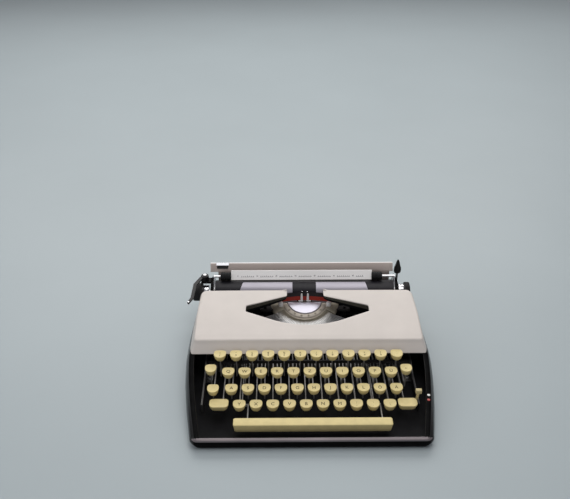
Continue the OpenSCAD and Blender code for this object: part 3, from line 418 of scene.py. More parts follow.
def casing():
    """A skin of levels. Each has its inset at the sides and in front, its corner radius, its share of the way
    up to the rim, and millimetres added to that."""
    rim, band = RIM_INSET, RIM_INSET + RIM_BAND
    wall = [(9.4, 5.4, 5, 0, 0), (8.6, 4.6, 5, 0, -2.0), (6.4, 2.6, 6, 0, -2.0), (5.0, 1.4, 7, 0, -1.75),
            (3.9, 0.6, 8, 0, -0.9)]
    wall += [(inset, 0.0, 8, share, 0) for share, inset in (
        (0.2, 2.0), (0.32, 0.7), (0.45, 0.1), (0.58, 0.1), (0.7, 0.7), (0.8, 1.6), (0.9, 3.1))]
    top = [(rim - 0.45, 0.0, 6, 1, -0.75), (rim - 0.1, 0.12, 6, 1, -0.25), (rim + 0.5, 0.6, 6, 1, 0),
           (rim + 2.5, 2.5, 5, 1, 0.05), (band - 0.7, FRONT_BAND - 0.7, 4, 1, -0.05),
           (band - 0.15, FRONT_BAND - 0.15, 3.6, 1, -0.35), (band, FRONT_BAND, 3.5, 1, -0.9)]
    well = [(band, FRONT_BAND, 3.5, 1, -2.5), (rim + 3.0, 3.2, 3.5, 1, -2.7), (4.2, 2.4, 4, 0.7, 0),
            (3.2, 2.3, 4, 0.45, 0), (5.2, 2.4, 4, 0.15, 0), (7.4, 3.4, 4, 0, 0)]
    levels = []
    for low, rows in ((FOOT_Z, wall + top), (FLOOR_Z, well)):
        for inset, front, r, share, extra in rows:
            levels.append([(x, y, (rim_at(y) if share == 1 else lerp(low, rim_at(y), share)) + extra)
                           for x, y in plan(inset, front, r)])
    s = Shape()
    s.rings(levels)
    for i, f in enumerate(s.f):
        row = i // len(levels[0])
        if row >= len(wall + top):  # the well's lining, and the two caps
            s.m[i] = 2
        elif row >= len(wall) - 2 and max(s.v[k][1] for k in f) < FRONT_BAND + 0.1:  # the rim's front part, which gets the painted reflection
            s.m[i] = 1
    piece("casing_shell", s, [LACQUER, RIM_PAINTED_REFLECTION, WELL], "base", ["base_casing"], angle=50)


casing()

# feet, then the screws in the corners of the well
s = Shape()
for side in (-1, 1):
    for y in (22, CASE_D - 22):
        s.lathe([(0, 0), (7.2, 0), (7.8, 0.5), (7.9, 1.6), (6.6, 2.6), (6.4, 3.2), (0, 3.2)],
                (side * (BELLY - 29), y, 0), "z", 32)
piece("rubber_feet_set", s, FOOT_RUBBER, "base", ["rubber_feet"], angle=35)


def screw(s, c, r, h, turn):
    """A cheese-head screw standing on c; the slot in its head has the second material."""
    s.lathe([(0, h * 0.55), (r * 0.16, h * 0.55), (r * 0.16, h), (r * 0.82, h), (r, h * 0.72), (r, 0), (0, 0)],
            c, "z", 24)
    a = radians(turn)
    along = Vector((cos(a), sin(a), 0)) * r * 0.86
    across = Vector((-sin(a), cos(a), 0)) * r * 0.14
    top = Vector(c) + Vector((0, 0, h + 0.02))
    s.add([top + along * i + across * j for i, j in ((-1, -1), (1, -1), (1, 1), (-1, 1))], [(0, 1, 2, 3)], 1)


s = Shape()
for side in (-1, 1):
    for y, turn in ((CHIN_Y - 7, 35), (CHIN_Y + 60, 80)):
        screw(s, (side * 120.275, y, FLOOR_Z + 2), 2.9, 1.6, turn * side)
piece("case_screw_set", s, [STEEL, LACQUER], "base", ["case_screws"], angle=35)

# the two coloured marks on the right rim, beside the ribbon selector
s = Shape()
for y, m in ((55.8, 0), (49.6, 1)):
    x = belly_at(y) - RIM_INSET - RIM_BAND / 2 + 0.2
    s.lathe([(0, 0.32), (1.3, 0.3), (1.75, 0.15), (1.8, 0), (1.8, -0.3)], (x, y, rim_at(y)), "z", 24, m)
piece("rim_marks", s, [WHITE_DOT, RED_DOT], "base", angle=35)

# Cover

CREASE_Y, CREASE_Z = 121.2, 54.3
NOTCH_R = 21.5


def top_z(x, y):
    """Height of the cover's top."""
    t = max(0.0, y - CREASE_Y)
    return CREASE_Z + 0.1563 * t - 0.0003 * t * t - 0.5 * (x / 140) ** 2


def shoulder(y):
    """Half of the width of the cover's top."""
    return 138.775 - 2 * smooth((y - 161) / 46)


def cover_outer():
    """Half of the shoulder's outline, from the notch to the middle of the crease: point, normal, flare."""
    r = 8.0
    x1 = shoulder(COVER_REAR_Y)
    pts = [(x, COVER_REAR_Y, 0, 1, 0, 0) for x in steps(NOTCH_R, x1 - r, 14)]
    for k in range(1, 9):
        a = radians(90 * k / 8)
        f = smooth(k / 5)
        pts.append((x1 - r + r * sin(a), COVER_REAR_Y - r + r * cos(a), sin(a), cos(a), 5 * f, 0))
    pts += [(shoulder(y), y, 1, 0, 5, 0) for y in steps(COVER_REAR_Y - r, CREASE_Y + 4, 18)[1:]]
    r = 4.0
    xc = shoulder(CREASE_Y) - r
    for k in range(1, 7):
        a = radians(90 * k / 6)
        pts.append((xc + r * cos(a), CREASE_Y + r - r * sin(a), cos(a), -sin(a),
                    5 * (1 - smooth(k / 6 - 0.35) * 0.12), -8 * smooth(k / 5)))
    return pts + [(x, CREASE_Y, 0, -1, 5 * x / xc, -8) for x in (xc * (1 - i / 15) for i in range(1, 16))]


def edge_r(ny):
    """Radius of the shoulder's edge: tighter along the rear."""
    return 3 - 2 * max(0.0, ny) ** 2


def cover_inner():
    """Half of the opening's outline, in the same order, with the depth of its lip."""
    a = [(NOTCH_R, lerp(COVER_REAR_Y, 198.4, i / 14), 3.0) for i in range(13)]
    a += [(NOTCH_R + 0.15, 197.2, 4.0), (NOTCH_R + 1.3, 195.9, 4.8)]
    b = list(zip(steps(NOTCH_R + 1.3, 75.2, 14), steps(195.9, 179.9, 14), steps(6.0, 11.8, 14)))[1:]
    c = [(77.0, 178.9, 11.6), (77.5, 177.2, 10.0), (77.5, 173.8, 7.0), (77.5, 170.8, 3.6)]
    d = []
    for i in range(28):
        x = 77.5 * cos(radians(90 * (i + 0.6) / 27.6))
        near = min(x, 41.5) / 41.5
        d.append((x, 145.4 + 7.8 * near * near + 0.43 * max(0.0, x - 41.5), 2.2))
    return a + b + c + d + [(0, 145.4, 2.2)]


def cover():
    outer, inner = cover_outer(), cover_inner()
    # the notch reaches further to the left, so the left rear edge starts further out
    left_outer = [(p[0] + 4 * max(0.0, 1 - i / 14), *p[1:]) for i, p in enumerate(outer)]
    rings = []

    def outer_ring(fn):
        return [fn(*p) for p in outer] + [(-x, y, z) for x, y, z in (fn(*p) for p in left_outer[-2::-1])]

    def inner_ring(t, drop=0.0, share=0.0):
        """The surface t of the way in to the opening, lowered by a drop and a share of the lip's depth."""
        def start(p, q, side):
            r = edge_r(p[3])
            return side * (p[0] - p[2] * r), p[1] - p[3] * r, side * q[0], q[1], q[2]
        half = [start(p, q, 1) for p, q in zip(outer, inner)]
        left = [start(p, q, -1) for p, q in zip(left_outer, inner)][-2::-1]
        out = []
        for x0, y0, x1, y1, lip in half + left:
            if x1 < 0:
                x1 -= 4 * smooth((y1 - 182) / 14)
            x, y = lerp(x0, x1, t), lerp(y0, y1, t)
            out.append((x, y, top_z(x, y) - drop - lip * share))
        return out

    def foot(x, y, nx, ny, fx, fy, f):
        deep = (SEAM_Z + 0.25) if (abs(fx) > 0.5 or fy) else top_z(x, y) - 5.5
        return x + fx * f, y + fy * f, lerp(top_z(x, y) - edge_r(ny), deep, f)

    # the skirt from its lower edge up, the rounded shoulder, the top, and the turned-down lip
    for f in (1.0, 0.96, 0.75, 0.5, 0.25, 0.08):
        rings.append(outer_ring(lambda *p: foot(*p, f)))
    for a in (radians(deg) for deg in (15, 35, 55, 75, 90)):
        rings.append(outer_ring(lambda x, y, nx, ny, fx, fy: (
            x - nx * edge_r(ny) * (1 - cos(a)), y - ny * edge_r(ny) * (1 - cos(a)),
            top_z(x, y) - edge_r(ny) * (1 - sin(a)))))
    rings += [inner_ring(t) for t in (0.12, 0.3, 0.5, 0.7, 0.85, 0.95, 0.99)] + [inner_ring(1.0, 0.25)]
    top_count = len(rings)
    rings += [inner_ring(1.0, 0.25, f) for f in (0.1, 0.35, 0.6, 1.0)]
    s = Shape()
    for part, mat in ((rings[:top_count + 1], 0), (rings[top_count:-1], 1), (rings[-2:], 2)):
        s.rings(part, mat, closed=False, caps=False)
    ob = piece("cover_shell", s, [ENAMEL, LIP, WELL], "cover", ["top_cover"], angle=48)
    if sum(p.normal.z * p.area for p in ob.data.polygons) < 0:
        ob.data.flip_normals()
    so = ob.modifiers.new("solid", "SOLIDIFY")
    so.thickness = 1.5 * MM
    so.offset = -1


cover()

# Keys

LEVER_END_Z = FLOOR_Z + 8.5 + 0.4 + 2.2
LEVER_T, HUB_R = 0.6, 3.2
CAP_HALF_W, CAP_D = 7.35, 13.5
CAP_PROFILE = [(0.32, -8.98), (0.52, -8.6), (0.66, -7.7), (0.77, -6.4), (0.85, -5.0), (0.91, -3.5),
               (0.95, -2.2), (0.975, -1.1), (0.985, -0.45), (0.972, -0.12), (0.94, 0.0), (0.90, -0.06),
               (0.80, -0.30), (0.62, -0.58), (0.40, -0.78), (0.20, -0.87)]
CORNERS = ((1, 1, 0), (-1, 1, 90), (-1, -1, 180), (1, -1, 270))


def cap_outline():
    """Round in front, flatter with soft corners at the back."""
    pts = []
    for i in range(44):
        a = 2 * pi * i / 44
        reach, e = (CAP_D - CAP_HALF_W, 2 / 3.4) if sin(a) >= 0 else (-CAP_HALF_W, 2 / 2.15)
        pts.append((CAP_HALF_W * copysign(abs(cos(a)) ** e, cos(a)), reach * abs(sin(a)) ** e))
    return pts


def wide_outline(w, d):
    """A rectangle with wide corners in front and tighter ones behind."""
    pts = []
    for sx, sy, a0 in CORNERS:
        r = 5.0 if sy < 0 else 3.75
        angles = [radians(a0 + 15 * k) for k in range(7)]
        pts += [(sx * (w - r) + r * cos(a), sy * (d - r) + r * sin(a)) for a in angles]
        if sx == sy:
            pts += [(lerp(sx * (w - r), -sx * (w - r), t), sy * d) for t in (0.25, 0.5, 0.75)]
    return pts


def add_cap(s, x, y, z, outline, dish=1.0, centre_y=-0.6, inset=None):
    """A key cap; a wide one has an inset, the most that its outline is drawn in, in millimetres."""
    rings = []
    for k, dz in CAP_PROFILE:
        if inset:
            reach = inset * (1 - k)
            half = max(abs(p[0]) for p in outline)
            deep = max(abs(p[1]) for p in outline)
            kx, ky = (half - reach) / half, (deep - reach) / deep
            if dz > -0.35 and k < 0.9 or -0.9 < dz < -0.35 and k < 0.85:  # the dish
                kx, ky = 1 - (1 - k) * 0.98, k
        else:
            kx = ky = k
        d = dz if dz < -1 or k > 0.93 else dz * dish
        rings.append([(x + p[0] * kx, y + centre_y * (1 - ky) + p[1] * ky, z + d) for p in outline])
    s.rings(rings)


def add_hub(s, x):
    """The eye of a lever on the shaft of the key levers."""
    r, t = SHAFT_R + 0.08, LEVER_T
    s.lathe([(r, -t), (HUB_R, -t), (HUB_R, t), (r, t)], (x, SHAFT_Y, SHAFT_Z), "x", 28, ring=True)


def add_lever(s, x, tip_y, end_z, post_top):
    """A thin steel lever from its hub on the shaft to its post."""
    h = 2.2
    add_hub(s, x)
    s.prism([(SHAFT_Y - 3, SHAFT_Z - h), (SHAFT_Y - 3, SHAFT_Z + h), (tip_y + 2, end_z + h),
             (tip_y + 2, post_top), (tip_y - 2, post_top), (tip_y - 2, end_z - h + 0.8),
             (tip_y - 1.2, end_z - h)], x - LEVER_T, x + LEVER_T)


def lettering(body, **settings):
    """A text lying flat round the origin, as points and faces."""
    cu = bpy.data.curves.new("text", "FONT")
    for key, value in {"body": body, "align_x": "CENTER", "align_y": "CENTER", **settings}.items():
        setattr(cu, key, value)
    ob = linked("text", cu)
    me = bpy.data.meshes.new_from_object(ob.evaluated_get(bpy.context.evaluated_depsgraph_get()))
    points, faces = [v.co.copy() for v in me.vertices], [tuple(p.vertices) for p in me.polygons]
    bpy.data.objects.remove(ob)
    bpy.data.curves.remove(cu)
    bpy.data.meshes.remove(me)
    return points, faces


def add_legend(s, text, x, y, z, size, spread=1.0):
    """A letter or sign as a thin layer in the dish of a key top."""
    points, faces = lettering(text, size=size, resolution_u=3, extrude=0.09, space_line=0.95)
    verts = []
    for p in points:
        r2 = (p.x / CAP_HALF_W) ** 2 + (p.y / CAP_HALF_W) ** 2
        verts.append((x + p.x * spread, y + p.y, z - 0.9 + 0.85 * r2 + p.z))
    s.add(verts, faces)


def row_x(row, i):
    return ROW_SHIFT[row] + (i - (ROW_COUNT[row] - 1) / 2) * PITCH


OUTLINE = cap_outline()


def key_pieces(name, body, nodes, keys):
    """Caps, levers and legends of keys, given by their row, place in it, text and size of the text."""
    caps, levers, marks = Shape(), Shape(), Shape()
    for row, i, text, size in keys:
        x, y, z = row_x(row, i), ROW_Y[row], ROW_Z[row]
        add_cap(caps, x, y, z, OUTLINE)
        add_lever(levers, x, y, LEVER_END_Z, z - 3.5)
        add_legend(marks, text, x, y - 0.3, z, size, 0.95)
    piece("cap_" + name, caps, CREAM, body, nodes, angle=60)
    piece("lever_" + name, levers, LEVER, body, bevel=0.22)
    piece("legend_" + name, marks, LEGEND, body, angle=30, merge=False)


for r, letters in enumerate(LETTER_ROWS):
    for i, c in enumerate(letters):
        key_pieces(c, f"key_{c}_body", ["key_" + c], [(r + 1, i, c.upper(), 6.4)])

FIGURES = ['!\n1', '"\n2', '§\n3', '$\n4', '%\n5', '&\n6', '/\n7', '(\n8', ')\n9', '=\n0', '?\nß', '`\n´']
keys = [(0, i, t, 4.1) for i, t in enumerate(FIGURES)]
keys += [(1, 10, "Ü", 6.0), (2, 9, "Ö", 6.0), (2, 10, "Ä", 6.0)]
keys += [(3, 7, ";\n,", 4.3), (3, 8, ":\n.", 4.3), (3, 9, "_\n-", 4.3)]
key_pieces("figures", "figure_keys_body", ["figure_keys"], keys)

# keys beside the rows
MARGIN_X = row_x(1, 0) - 20.8
LOCK_X = row_x(1, 0) - 16.8
LEFT_SHIFT_X = row_x(1, 0) - 5.3
RIGHT_SHIFT_X = row_x(0, 11) + 4.4
BACK_X = row_x(0, 11) + 9.1


def side_piece(name, node, places, end_z, mark=None, shift=False):
    """Keys beside the rows, as the lever's x and the cap's x, y and z; shift keys are wide and share a bar."""
    body, reach = name + "_body", 6.8
    caps, levers, marks = Shape(), Shape(), Shape()
    for lx, cx, y, z in places:
        if shift:
            add_cap(caps, cx, y, z, wide_outline(11, reach), inset=7.2, centre_y=-0.2, dish=0.55)
        else:
            outline = [(px * reach / CAP_HALF_W, (py + 0.6) * reach / 6.75) for px, py in OUTLINE]
            add_cap(caps, cx, y, z, outline, centre_y=-0.3)
        add_lever(levers, lx, y, end_z, z - 3.5)
        if mark:
            add_legend(marks, mark, cx, y, z, 3.6)
    if shift:
        y, z, r = SHAFT_Y - 8, 6.3, 0.8
        x0, x1 = LEFT_SHIFT_X - 0.6, RIGHT_SHIFT_X + 0.6
        levers.lathe([(0, x0), (r, x0), (r, x1), (0, x1)], (0, y, z), "x", 20)
        for x in (LEFT_SHIFT_X, RIGHT_SHIFT_X):
            levers.prism([(y - 2, z - 1), (y - 2, SHAFT_Z), (y + 3, SHAFT_Z), (y + 2, z - 1)],
                         x - LEVER_T, x + LEVER_T)
    piece(name + "_caps", caps, CREAM, body, [node], angle=60)
    piece(name + "_levers", levers, LEVER, body, bevel=0.22)
    if mark:
        piece(name + "_legend", marks, LEGEND, body, angle=30, merge=False)


side_piece("shift", "shift_keys", [(LEFT_SHIFT_X, LEFT_SHIFT_X - 4, 48.3, 22.4),
                                   (RIGHT_SHIFT_X, RIGHT_SHIFT_X + 2.6, 48.3, 22.4)], LEVER_END_Z, shift=True)
side_piece("shift_lock", "shift_lock_key", [(LOCK_X, LOCK_X, 63.3, 31)], LEVER_END_Z + 3.4)
side_piece("backspace", "backspace_key", [(BACK_X, BACK_X, 84.2, 42)], LEVER_END_Z, "←")
side_piece("margin_release", "margin_release_key", [(MARGIN_X, MARGIN_X, 87.4, 40)], LEVER_END_Z)


def space_bar():
    y, z, d, h = 20.0, 22.0, 11.6, 11.4
    x0, x1, r = -87.0, 90.0, 2.0
    rings = []
    for drop, inset in ((h, 2.0), (h - 0.5, 1.5), (h * 0.55, 0.9), (1.6, 0.35), (0.7, 0.15), (0.2, 0.5),
                        (0.0, 1.1)):
        hw, hd = (x1 - x0) / 2 - inset, d / 2 - inset * 0.75
        rings.append([((x0 + x1) / 2 + sx * (hw - r) + r * cos(a), y + sy * (hd - r) + r * sin(a), z - drop)
                      for sx, sy, a0 in CORNERS for a in (radians(a0 + 18 * k) for k in range(6))])
    s = Shape()
    s.rings(rings)
    piece("space_bar_top", s, CREAM, "space_bar_body", ["space_bar"], angle=50)
    # each arm stands beside a lever of the second row behind, and between two levers of the last row in front
    arms = Shape()
    low, t = FLOOR_Z + 5.2, LEVER_T
    high = low + 3.4
    jog = ROW_Y[3] + CAP_D / 2 + 2.6
    for i in (0, 8):
        x, gap = (row_x(1, i + 1) + row_x(3, i)) / 2, (row_x(3, i) + row_x(3, i + 1)) / 2
        add_hub(arms, x)
        arms.prism([(SHAFT_Y - 3, SHAFT_Z - 1.7), (SHAFT_Y - 3, SHAFT_Z + 1.7), (jog - 1, high),
                    (jog - 1, low)], x - t, x + t)
        arms.box((min(x, gap) - t, jog - 1, low), (max(x, gap) + t, jog + 1, high - 0.4))
        arms.prism([(jog + 1, low), (jog + 1, high - 0.4), (y + 4, high), (y + 2, z - 3), (y - 2, z - 3),
                    (y - 2, low)], gap - t, gap + t)
    piece("space_bar_arms", arms, LEVER, "space_bar_body", bevel=0.2)


space_bar()

# Type basket

BASKET = Matrix.Translation((BASKET_X, BASKET_Y, BASKET_Z)) @ Matrix.Rotation(radians(BASKET_TILT), 4, "X")
BAR_STEP, BAR_COUNT, PIVOT_R, BAR_LEN = 2.6, 44, 36.0, 38.5
CUT_Y = -5.0  # both ends of the ring are cut off flat here


def cut(side):
    """For the left or right end of the ring: the angle at which a radius reaches the flat cut."""
    return lambda r: -asin(-CUT_Y / r) if side > 0 else -pi + asin(-CUT_Y / r)


def sector(s, loop, n, start, end, mat):
    """A closed profile of (radius, height) turned in n steps between two angles, which depend on the radius."""
    rings = []
    for t in steps(0, 1, n):
        turned = [(r, lerp(start(r), end(r), t), z) for r, z in loop]
        rings.append([(r * cos(a), r * sin(a), z) for r, a, z in turned])
    s.rings(rings, mat)


def segment():
    s = Shape()
    mats = [0, 0, 0, 0, 2, 1, 1, 1, 1, 1, 1, 1, 2, 2, 2, 2, 2]  # disc, groove, ring, flank under the bars
    sector(s, [(5.01, 3.0), (22.0, 3.0), (22.4, 2.85), (22.6, 2.5), (22.6, 0.4), (23.5, 0.4), (23.5, 1.75),
               (23.75, 2.0), (28.0, 2.0), (28.6, 1.7), (29.2, 1.3), (29.8, 0.2), (31.4, 0.1), (31.4, -2.6),
               (45, -2.6), (45, -4.0), (5.01, -4.0)], 90, cut(-1), cut(1), mats * 90 + [2, 2])
    # teeth between the typebars' slots
    for i in range(BAR_COUNT + 1):
        mid = radians((i - BAR_COUNT / 2 - 0.5) * BAR_STEP - 90)
        c, sn = cos(mid), sin(mid)
        rows = []
        for r, z in ((31.3, 2.6), (34, 2.55), (38, 2.45), (42, 2.2), (43.6, 1.75), (44.6, 1.2), (45, 0.5)):
            half = max(0.16, r * radians(BAR_STEP) / 2 - 0.62)
            rows.append([(r * c - t * sn, r * sn + t * c, h) for t, h in (
                (-half, -2.7), (half, -2.7), (half, z - 0.12), (half * 0.6, z), (-half * 0.6, z),
                (-half, z - 0.12))])
        s.rings(rows, 2)
    # solid ends of the rim beside the first and the last bar
    for side in (-1, 1):
        start = radians(-90 + side * ((BAR_COUNT / 2 + 1) * BAR_STEP - 0.5))
        sector(s, [(31.3, 2.6), (38, 2.4), (42, 2.2), (43.6, 1.7), (45, 0.6), (45, -2.7), (31.3, -2.7)], 10,
               lambda r: start, cut(side), 2)
    s.moved(BASKET)
    # screws of the ring
    heads = Shape()
    for a in range(-50, 51, 20):
        q = radians(a - 90)
        screw(heads, (26.5 * cos(q), 26.5 * sin(q), 2.05), 1.45, 0.7, a * 3 + 20)
    heads.moved(BASKET)
    # sliding lugs, and the rounded ears over them
    lugs = Shape()
    for side in (-1, 1):
        x = BASKET_X + side * 48
        lugs.box((x - 11, 199, 36.3), (x + 11, 208, 39.8))
        lugs.lathe([(0, 3.3), (2.0, 3.1), (3.0, 2.4), (3.35, 1.2), (3.4, -9.0), (0, -9.0)],
                   (BASKET_X + side * 31.5, 206.0, 44.3), "z", 28, 1)
    piece("segment_body", s, [DISC, RING, FLANK], "basket", ["segment"], angle=32)
    piece("segment_screws", heads, [FLANK, DARK_STEEL], "basket", angle=35)
    piece("segment_lugs", lugs, [DARK_STEEL, SCALE], "basket", bevel=0.5)


def typebar(s, i):
    """The typebar in slot i of the segment, at rest."""
    t = 0.5
    bar = Shape()
    bar.prism([(0.9, -1.2), (0.9, 1.2), (-1.5, 1.75), (-6, 1.35), (-BAR_LEN + 4.2, 1.0), (-BAR_LEN + 4.2, -1.0),
               (-6, -1.2), (-1.5, -1.6)], -t, t)
    # type slug: two faces of type on a curved block
    bar.prism([(-BAR_LEN, -1.3), (-BAR_LEN, 4.3), (-BAR_LEN + 0.6, 4.5), (-BAR_LEN + 3.4, 4.2),
               (-BAR_LEN + 4, 3.4), (-BAR_LEN + 4, -1.1), (-BAR_LEN + 3.2, -1.5), (-BAR_LEN + 0.5, -1.5)],
              -1.25, 1.25, "x", 1)
    for z in (0.2, 2.9):
        bar.box((-0.75, -BAR_LEN - 0.28, z - 0.75), (0.75, -BAR_LEN + 0.1, z + 0.75), 1)
    bar.moved(Matrix.Translation((0, -PIVOT_R, 0)) @ Matrix.Rotation(radians(-BASKET_TILT), 4, "X"))
    bar.moved(Matrix.Rotation(radians((i - BAR_COUNT / 2) * BAR_STEP), 4, "Z"))
    bar.moved(BASKET)
    s.take(bar)


segment()
bars = Shape()
for i in range(BAR_COUNT):
    if i != BAR_COUNT // 2:
        typebar(bars, i)
wire = Shape()
wire.lathe([(PIVOT_R + 0.6 * cos(a), 0.6 * sin(a)) for a in (pi * k / 4 for k in range(8))],
           (0, 0, 0), "z", 60, 0, -90 - 58.7, -90 + 57.3, ring=True)
bars.take(wire.moved(BASKET))
piece("typebar_fan", bars, [STEEL, DARK_STEEL], "basket", ["typebars"], bevel=0.12, seg=1)
bars = Shape()
typebar(bars, BAR_COUNT // 2)
piece("typebar_middle", bars, [STEEL, DARK_STEEL], "typebar", ["typebar_h"], bevel=0.12, seg=1)

# Ribbon and printing point

RIBBON_H, RIBBON_T = 13.0, 0.4
RIBBON_LOW, RIBBON_RISE = 39.2, 7.3
RIBBON_Y = PLATEN_Y - 19.3


def ribbon_part(name, way, bodies):
    """A strip standing on edge along way, a list of (x, y, low z)."""
    fine = []
    for a, b in zip(way, way[1:]):
        n = max(1, int(dist(a[:2], b[:2]) / 3))
        for t in steps(0, 1, n)[:-1]:
            fine.append((lerp(a[0], b[0], t), lerp(a[1], b[1], t), lerp(a[2], b[2], smooth(t))))
    fine.append(way[-1])
    rows, k = 6, 7
    verts, uvs = [], []
    for x, y, z in fine:
        for j in range(k):
            bow = 0.12 * sin(pi * j / rows)
            verts.append((x, y + RIBBON_T / 2 - bow, z + RIBBON_H * j / rows))
            uvs.append((x, j / rows))
    faces = [(i * k + j, (i + 1) * k + j, (i + 1) * k + j + 1, i * k + j + 1)
             for i in range(len(fine) - 1) for j in range(rows)]
    me = new_mesh(name, [place(p) for p in verts], faces, [RIBBON])
    layer = me.uv_layers.new(name="ribbon")
    for loop in me.loops:
        layer.data[loop.index].uv = uvs[loop.vertex_index]
    me.shade_smooth()
    ob = linked(name, me)
    if len(bodies) == 1:
        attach(ob, bodies[0])
    else:
        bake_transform(ob)
    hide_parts("ribbon")


low, high = RIBBON_LOW, RIBBON_LOW + RIBBON_RISE
for side, name in ((-1, "left"), (1, "right")):
    bend = (side * 23 + BASKET_X, RIBBON_Y - 2, high)
    outer = [bend, (side * 30 + BASKET_X, RIBBON_Y - 3, high), (side * 77.5 + BASKET_X, 198.5, low),
             (side * 101, 194.05, low)]
    ribbon_part("ribbon_" + name, outer[::-1], ("base",))
    ribbon_part("ribbon_slope_" + name, [bend, (side * 9 + BASKET_X, RIBBON_Y, high)], ("base", "vibrator"))
ribbon_part("ribbon_middle", [(-9 + BASKET_X, RIBBON_Y, high), (9 + BASKET_X, RIBBON_Y, high)], ("vibrator",))

GUIDE_Y = PLATEN_Y - 16.7


def mirrored(half, x):
    """A closed outline from its right half, given from the middle's lower end round to its upper end."""
    return [(x + px, z) for px, z in half] + [(x - px, z) for px, z in half[::-1] if px]


s = Shape()
x = BASKET_X
s.prism(mirrored([(8, 28), (8, 56.8), (7.2, 58), (6.2, 58), (5.6, 57.2), (5.6, 36)], x),
        GUIDE_Y - 1.7, GUIDE_Y - 0.9, "y")
prong = [(2.4, 45.2), (8, 45.2), (8, 46.3), (5.5, 46.3), (5.45, 52), (5.2, 57.2), (4.6, 58), (3.6, 58),
         (3, 57.2), (2.5, 52)]
for side in (-1, 1):
    s.prism([(x + side * px, pz) for px, pz in prong], RIBBON_Y - 1.1, RIBBON_Y - 0.3, "y", 1)
    x0, x1 = sorted((x + side * 2.4, x + side * 8))
    s.box((x0, RIBBON_Y - 0.7, 45.2), (x1, GUIDE_Y - 1.3, 46.3), 1)
piece("vibrator_fork", s, [DARK_STEEL, SCALE], "vibrator", ["ribbon_vibrator"], bevel=0.15)

s = Shape()
s.prism(mirrored([(10, 17.5), (10, 42.5), (8.5, 44), (4.6, 44), (4.4, 45), (4.4, 57.6), (3.9, 58.8),
                  (2.9, 58.8), (2.4, 57.6), (2.4, 47), (1.4, 45.2)], x), GUIDE_Y - 0.5, GUIDE_Y + 0.5, "y")
s.box((x - 10, GUIDE_Y, 17.5), (x + 10, 217, 21.5))
piece("type_guide_fork", s, CHROME, "base", ["type_guide"], bevel=0.18)


def card_strip(s, x0, x1, foot_x0, foot_x1, slant0, slant1):
    """A thin bright strip bent round the roller, its upper edge shorter than its lower one."""
    r0, r1 = PLATEN_R + 0.8, PLATEN_R + 1.5
    rings = []
    for t in steps(0, 1, 16):
        a = radians(82) * t
        xa, xb = lerp(x0, x0 + slant0, t), lerp(x1, x1 - slant1, t)
        rings.append([(x, PLATEN_Y - r * cos(a), PLATEN_Z + r * sin(a))
                      for x, r in ((xa, r1), (xb, r1), (xb, r0), (xa, r0))])
    s.rings(rings)
    s.box((foot_x0, PLATEN_Y - r1 - 0.05, 40), (foot_x1, PLATEN_Y - r0, PLATEN_Z + 0.1))


s = Shape()
card_strip(s, x - 89, x - 16, x - 85, x - 10.1, 8, 0)
card_strip(s, x + 15, x + 87, x + 10.1, x + 85, 0, 7)
piece("card_guide_strips", s, GUIDE, "base", ["card_guide"], bevel=0.15)

# Carriage

FEED_Z = 28.39
BEAM_Z0, BEAM_Z1 = 26.3, 31.0


def end_plate(s, x, t, top_z):
    """A plate whose front edge goes round the roller's axis."""
    r = PLATEN_R - 0.3
    angles = [radians(86 + 155 * k / 29) for k in range(30)]
    arc = [(PLATEN_Y + r * cos(a), PLATEN_Z + r * sin(a)) for a in angles]
    rest = [(231, FEED_Z - 3.6), (240, FEED_Z - 3.6), (240.5, BEAM_Z0), (266, BEAM_Z0), (266, 35), (253, 56),
            (241.5, top_z - 0.5), (240.5, top_z), (231, top_z)]
    s.prism(arc + rest, x - t / 2, x + t / 2)


s = Shape()
end_plate(s, LEFT_PLATE_X, 3.7, 62.4)
end_plate(s, RIGHT_PLATE_X, 3.7, 61.0)
s.box((LEFT_PLATE_X, 242, BEAM_Z0), (RIGHT_PLATE_X, 266, BEAM_Z1))
s.box((LEFT_PLATE_X, 262.3, 22.0), (RIGHT_PLATE_X, 264.6, BEAM_Z0 + 0.2))
s.prism([(-138.95, 231), (LEFT_PLATE_X, 231), (LEFT_PLATE_X, 241), (-137.2, 241), (-138.95, 239)], 59.6, 62.4,
        "z")
root_z, tip_z = 25.2, 23.1
rack = [(-118, BEAM_Z0 + 0.1), (-118, root_z)]
for k in range(-36, 37):
    rx = k * pi
    rack += [(rx - 1.1, root_z), (rx - 0.42, tip_z), (rx + 0.42, tip_z), (rx + 1.1, root_z)]
rack += [(118, root_z), (118, BEAM_Z0 + 0.1)]
s.prism(rack, 244, 250, "y", 1)
s.lathe([(0, 71), (2.1, 71), (2.5, 70.6), (2.5, 60), (0, 60)], (RETURN_X, RETURN_Y, 0), "z", 28, 1)
s.lathe([(0, 124.7), (1.3, 124.7), (1.5, 124.4), (1.5, RIGHT_PLATE_X), (0, RIGHT_PLATE_X)], RELEASE_AXIS, "x",
        24, 1)
for px, side in ((LEFT_PLATE_X - 1.85, -1), (RIGHT_PLATE_X + 1.85, 1)):
    for cy, cz, r in ((PLATEN_Y, PLATEN_Z, 6.2), (*BAIL_PIVOT, 2.4)):
        s.lathe([(r, px), (r, px + side * 0.7), (r - 0.5, px + side), (r - 1.6, px + side), (r - 1.6, px)],
                (0, cy, cz), "x", 32, 1)
piece("carriage_body", s, [LACQUER, STEEL], "carriage", ["carriage_frame"], bevel=0.35)

